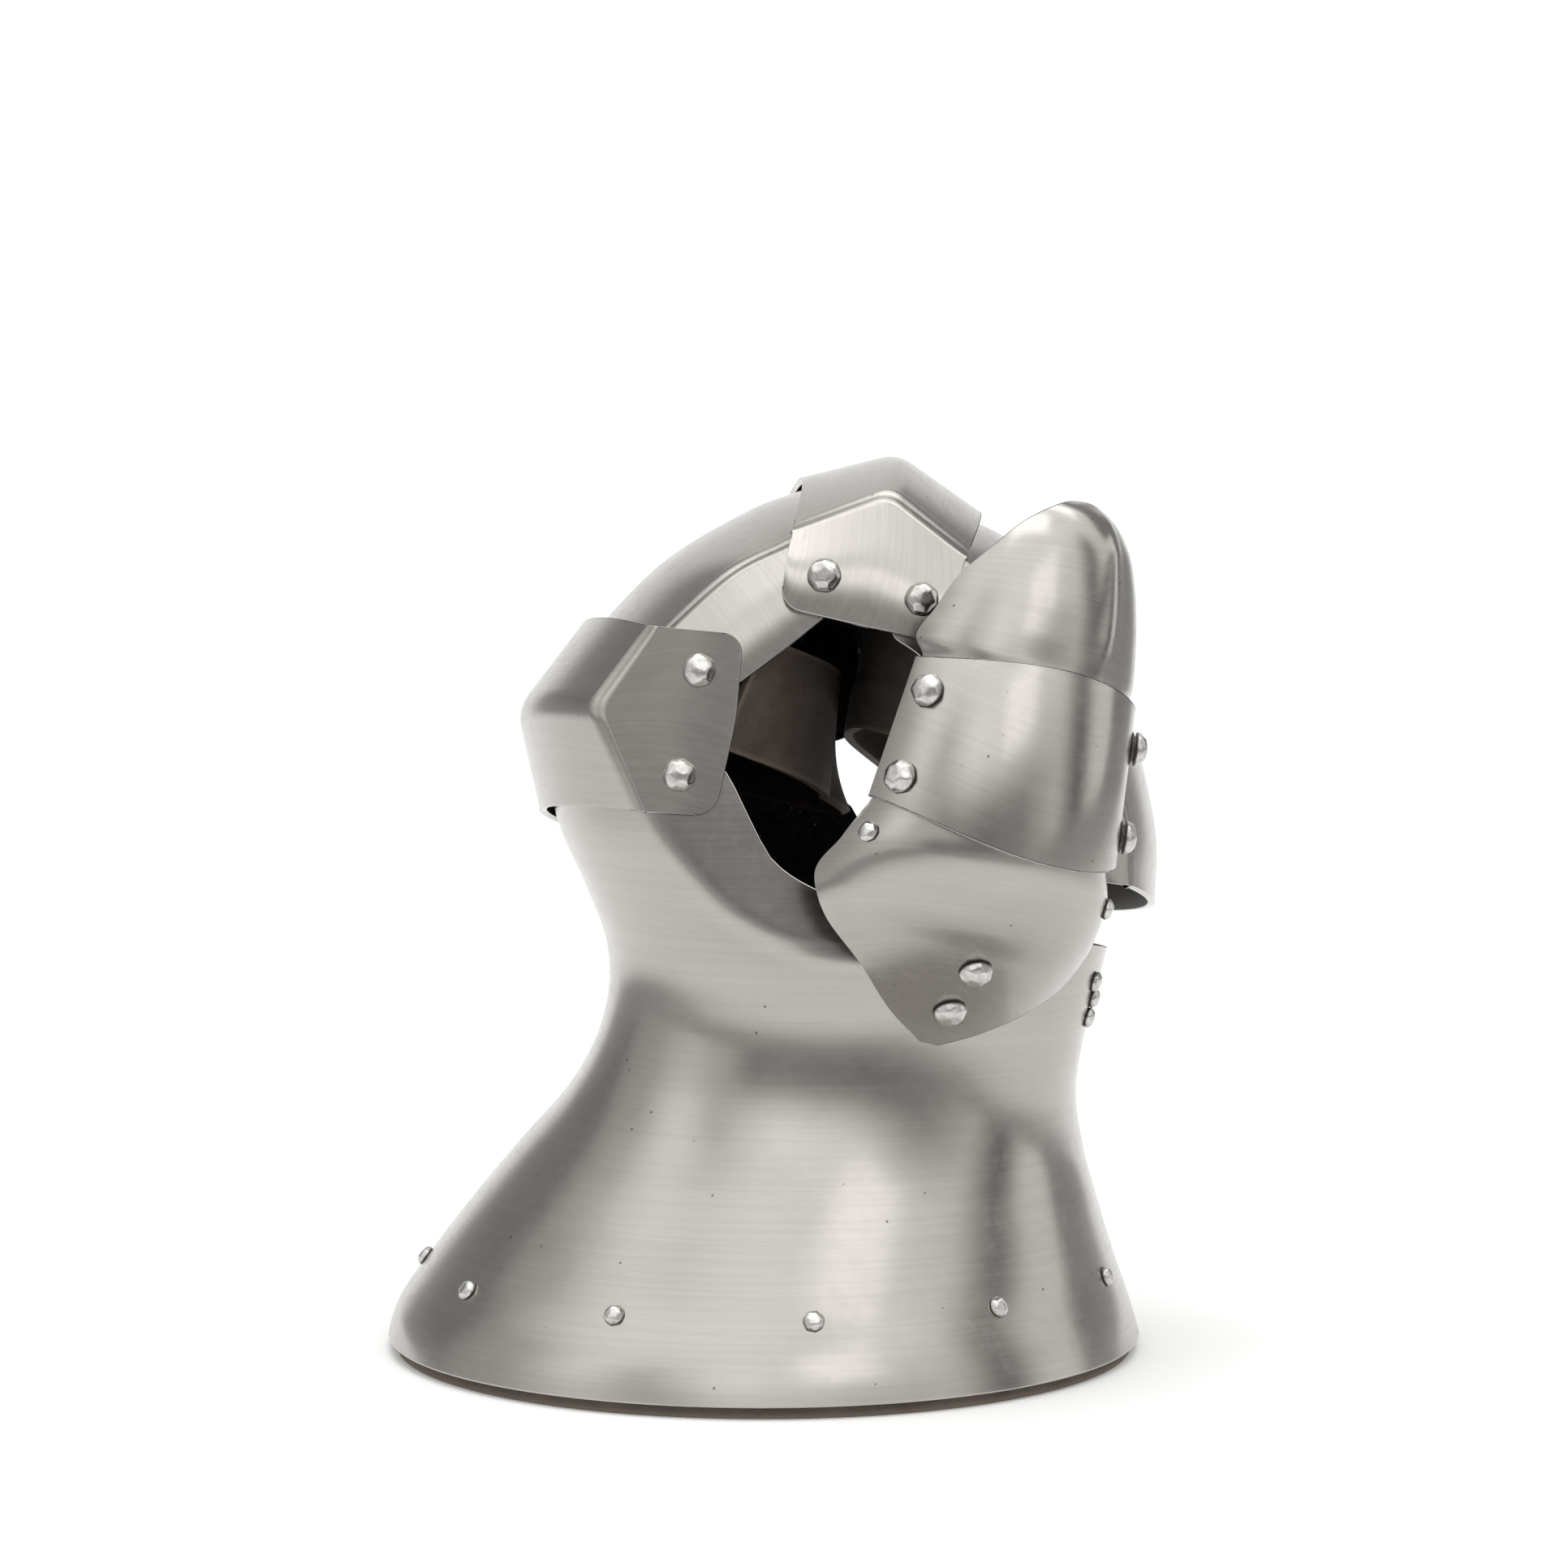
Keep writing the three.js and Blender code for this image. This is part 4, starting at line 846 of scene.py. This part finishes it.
for name, rivet, u, v in [
    ("small_left", SMALL_RIVET, 0.03, 0.65), ("small_right", SMALL_RIVET, 0.94, 0.6),
    ("big_upper", BIG_RIVET, 0.5, 0.28), ("big_lower", BIG_RIVET, 0.5, 0.13),
]:
    u, v = np.array(u), np.array(v)
    along = base_surface(u + STEP, v) - base_surface(u - STEP, v)
    up = base_surface(u, v + STEP) - base_surface(u, v - STEP)
    place = standing(base_surface(u, v), np.cross(along, up))
    add_rivet(f"thumb_rivet_{name}", "gauntlet", rivet, place, STEEL)

# Leather

def add_leather(name, node, body, surface, us, vs, outer, seed, **options):
    mesh = shell(surface, us, vs, outer, outer - LEATHER, seed=seed, **options)
    return new_object(name, *mesh, leather, body, "leather", [node])


add_leather("rim_band", "cuff_band", "gauntlet", band_surface, steps(160, True), steps(24),
            -STEEL - BAND_GAP, 11, closed=True, level=True)
add_leather("thumb_tab", "thumb_hinge", "gauntlet", hinge_surface, steps(24), steps(60), LEATHER / 2, 12)
add_leather("hand_loop", "hand_strap", "finger_1", strap_surface(HAND_STRAP), steps(90), steps(30),
            LEATHER / 2, 13)
add_leather("finger_loop", "finger_strap", "finger_2", strap_surface(FINGER_STRAP, lap=0.5), steps(90),
            steps(30), LEATHER / 2, 14)

# Linings

def napped(points):
    """A slightly uneven nap."""
    x, y, z = (points[..., i] for i in range(3))
    return 0.12 * np.sin(x * 1.7 + 2 * np.sin(z * 0.9)) * np.sin(y * 1.5 + z) - 0.12


def add_cloth(name, node, body, surface, us, vs, outer, seed):
    mesh = shell(surface, us, vs, outer, outer - CLOTH, seed=seed, rough=napped)
    return new_object(name, *mesh, lining, body, "lining", [node])


clear = PIVOT_GRIP + RIVET_SEAT + INNER_HEAD_HEIGHT - STEEL - GAP + LINING_CLEARANCE
finger_inside = plate_surface(FINGER_1, FINGER_HALF_WIDTH)
flap_depth = FINGER_HALF_WIDTH - clear - CLOTH - FLAP_GAP


def finger_lining_surface(u, v):
    """The cloth inside finger plate 1, short of its edges."""
    return finger_inside(lerp(0.06, 0.94, u), lerp(0.1, 0.85, v))


def flap_surface(u, v):
    """The cloth flap inside the far flange of finger plate 1."""
    x = lerp(FLAP["x"][-1], FLAP["x"][0], u)
    top, foot = (smooth_column(FLAP, "x", column, x) for column in ("top", "foot"))
    return from_mitten(np.stack([x, np.full_like(x, flap_depth), lerp(foot, top, v)], -1))


hand_cloth = add_cloth("hand_cloth", "hand_lining", "gauntlet", lining_surface, steps(120), steps(60),
                       -STEEL - LINING_GAP, 15)
flap_cloth = add_cloth("flap_cloth", "finger_flap", "finger_1", flap_surface, steps(40), steps(30), 0, 17)
finger_cloth = add_cloth("finger_cloth", "finger_lining", "finger_1", finger_lining_surface, steps(110),
                         steps(50), -clear, 16)

# Floor, light and camera, with places in metres

FLOOR_FRONT = -4.0
FLOOR_HALF_WIDTH = 5.0
BEND_START = 1.2
BEND_RADIUS = 0.9
WALL_TOP = 4.0


def add_stage():
    """A pale floor that sweeps up behind the object, with a painted pool of light: faintly glowing near the
    object and painted darker grey farther out.
    """
    turns = np.radians(np.arange(0, 91, 6))
    bend = [(BEND_START + BEND_RADIUS * math.sin(a), BEND_RADIUS * (1 - math.cos(a))) for a in turns]
    curve = [(FLOOR_FRONT, 0.0)] + bend + [(BEND_START + BEND_RADIUS, WALL_TOP)]
    vertices = [(x, y, z) for y, z in curve for x in (-FLOOR_HALF_WIDTH, FLOOR_HALF_WIDTH)]
    faces = [(2 * i, 2 * i + 1, 2 * i + 3, 2 * i + 2) for i in range(len(curve) - 1)]
    mesh = bpy.data.meshes.new("floor")
    mesh.from_pydata(vertices, [], faces)
    mesh.polygons.foreach_set("use_smooth", [True] * len(faces))
    obj = bpy.data.objects.new("floor", mesh)
    bpy.context.scene.collection.objects.link(obj)
    n = Nodes(bpy.data.materials.new("pale_floor_with_painted_light"))
    spot = n.add("ShaderNodeTexCoord").outputs["Object"]
    place = n.add("ShaderNodeSeparateXYZ", {"Vector": spot})
    front = n.math("MINIMUM", place.outputs["Y"], 0.0)
    away = n.add("ShaderNodeCombineXYZ", {"X": place.outputs["X"], "Y": front}).outputs["Vector"]
    away = n.add("ShaderNodeVectorMath", {0: away}, operation="LENGTH").outputs["Value"]
    behind = n.math("MULTIPLY", n.math("MAXIMUM", place.outputs["Y"], 0.0), 0.35)
    away = n.math("SUBTRACT", away, behind)
    pale = n.mix(n.noise(spot, 3.0, detail=4), (0.88, 0.88, 0.88, 1), (0.9, 0.9, 0.9, 1))
    # Painted pool of light: the floor is painted darker grey with distance from the object, less so behind
    # it.
    tone = n.mix(n.span(away, 0.18, 0.7, 0, 1), pale, (0.4, 0.4, 0.4, 1))
    # Painted light: the floor near the object glows faintly, though it is no lamp.
    painted_glow = n.span(away, 0.18, 0.5, 0.06, 0)
    mesh.materials.append(n.finish(
        Base_Color=tone, Roughness=0.85, Specular_IOR_Level=0.1, Emission_Color=(1, 1, 1, 1),
        Emission_Strength=painted_glow))


def add_light(name, place, aim, size, power):
    light = bpy.data.lights.new(name, "AREA")
    light.shape = "RECTANGLE"
    light.size, light.size_y = size
    light.energy = power
    obj = bpy.data.objects.new(name, light)
    bpy.context.scene.collection.objects.link(obj)
    place, aim = np.array(place, float), np.array(aim, float)
    forward = unit(aim - place)
    right = unit(np.cross(forward, [0, 0.01, 1]))
    up = np.cross(right, forward)
    matrix = np.eye(4)
    matrix[:3, :3] = np.stack([right, up, -forward], 1)
    matrix[:3, 3] = place
    obj.matrix_world = Matrix(matrix.tolist())


add_stage()
add_light("front_lamp", (0.5, -1.0, 0.95), (0, 0, 0.1), (0.5, 0.5), 0.5)
add_light("top_softbox", (0.0, -0.4, 1.6), (0, 0, 0.1), (0.9, 0.6), 2.2)
add_light("backdrop_wash", (0.0, 0.5, 2.4), (0, 1.9, 0.6), (3.0, 0.8), 12)


# Panels of the light tent and the gaps between them: azimuth from the camera, brightness low and high
PANELS = [
    (-180, 1.2, 1.5), (-142, 0.9, 0.85), (-122, 0.45, 0.48), (-92, 0.62, 0.7),
    (-60, 1.0, 1.45), (-38, 0.75, 0.85), (-27, 0.36, 1.25), (-12, 0.42, 1.65),
    (8, 0.32, 1.5), (34, 0.4, 1.3), (50, 0.7, 1.25), (60, 0.95, 1.25),
    (81, 0.18, 0.3), (96, 1.15, 1.15), (140, 1.35, 1.35), (180, 1.2, 1.5),
]


def add_world():
    """A pale tent of panels, open where the camera looks in and brighter overhead."""
    bpy.context.scene.world = bpy.data.worlds.new("studio")
    n = Nodes(bpy.context.scene.world)
    way = n.add("ShaderNodeTexCoord").outputs["Generated"]
    way = n.add("ShaderNodeVectorMath", {0: way, 1: (1, -1, 1)}, operation="MULTIPLY").outputs["Vector"]
    split = n.add("ShaderNodeSeparateXYZ", {"Vector": way})
    azimuth = n.math("ARCTAN2", split.outputs["X"], split.outputs["Y"])
    full_turn = {"Value": azimuth, "From Min": -math.pi, "From Max": math.pi}
    turn = n.add("ShaderNodeMapRange", full_turn).outputs["Result"]
    rings = []
    for column in (1, 2):
        ring = n.add("ShaderNodeValToRGB", {"Fac": turn})
        ring.color_ramp.interpolation = "EASE"
        stops = ring.color_ramp.elements
        stops.remove(stops[1])
        for panel in PANELS:
            stop = stops.new((panel[0] + 180) / 360) if panel[0] > -180 else stops[0]
            stop.color = (panel[column], panel[column] * 0.995, panel[column] * 0.985, 1)
        rings.append(ring.outputs["Color"])
    height = split.outputs["Z"]
    shade = n.mix(n.span(height, 0.18, 0.56, 0, 1), *rings)
    shade = n.mix(n.span(height, 0.55, 0.85, 0, 1), shade, (1.5, 1.5, 1.49, 1))
    n.put(n.tree.nodes["Background"].inputs["Color"], shade)


add_world()
bpy.context.scene.view_settings.view_transform = "Standard"

# The camera: its place in millimetres, and its lens and downward tilt in pixels of the photograph
CAMERA_PLACE = np.array([3.7, -958, 191.5])
FRAME_PX = 1932
FOCAL_PX = 5800
TILT_PX = 462

camera = bpy.data.cameras.new("camera")
camera.sensor_fit = "HORIZONTAL"
camera.sensor_width = 36
camera.lens = camera.sensor_width * FOCAL_PX / FRAME_PX
camera.clip_start = 0.05
camera_object = bpy.data.objects.new("camera", camera)
bpy.context.scene.collection.objects.link(camera_object)
camera_object.location = (CAMERA_PLACE + SHIFT) / 1000
camera_object.rotation_euler = (math.pi / 2 - math.atan2(TILT_PX, FOCAL_PX), 0, 0)
bpy.context.scene.camera = camera_object

bpy.context.view_layer.update()
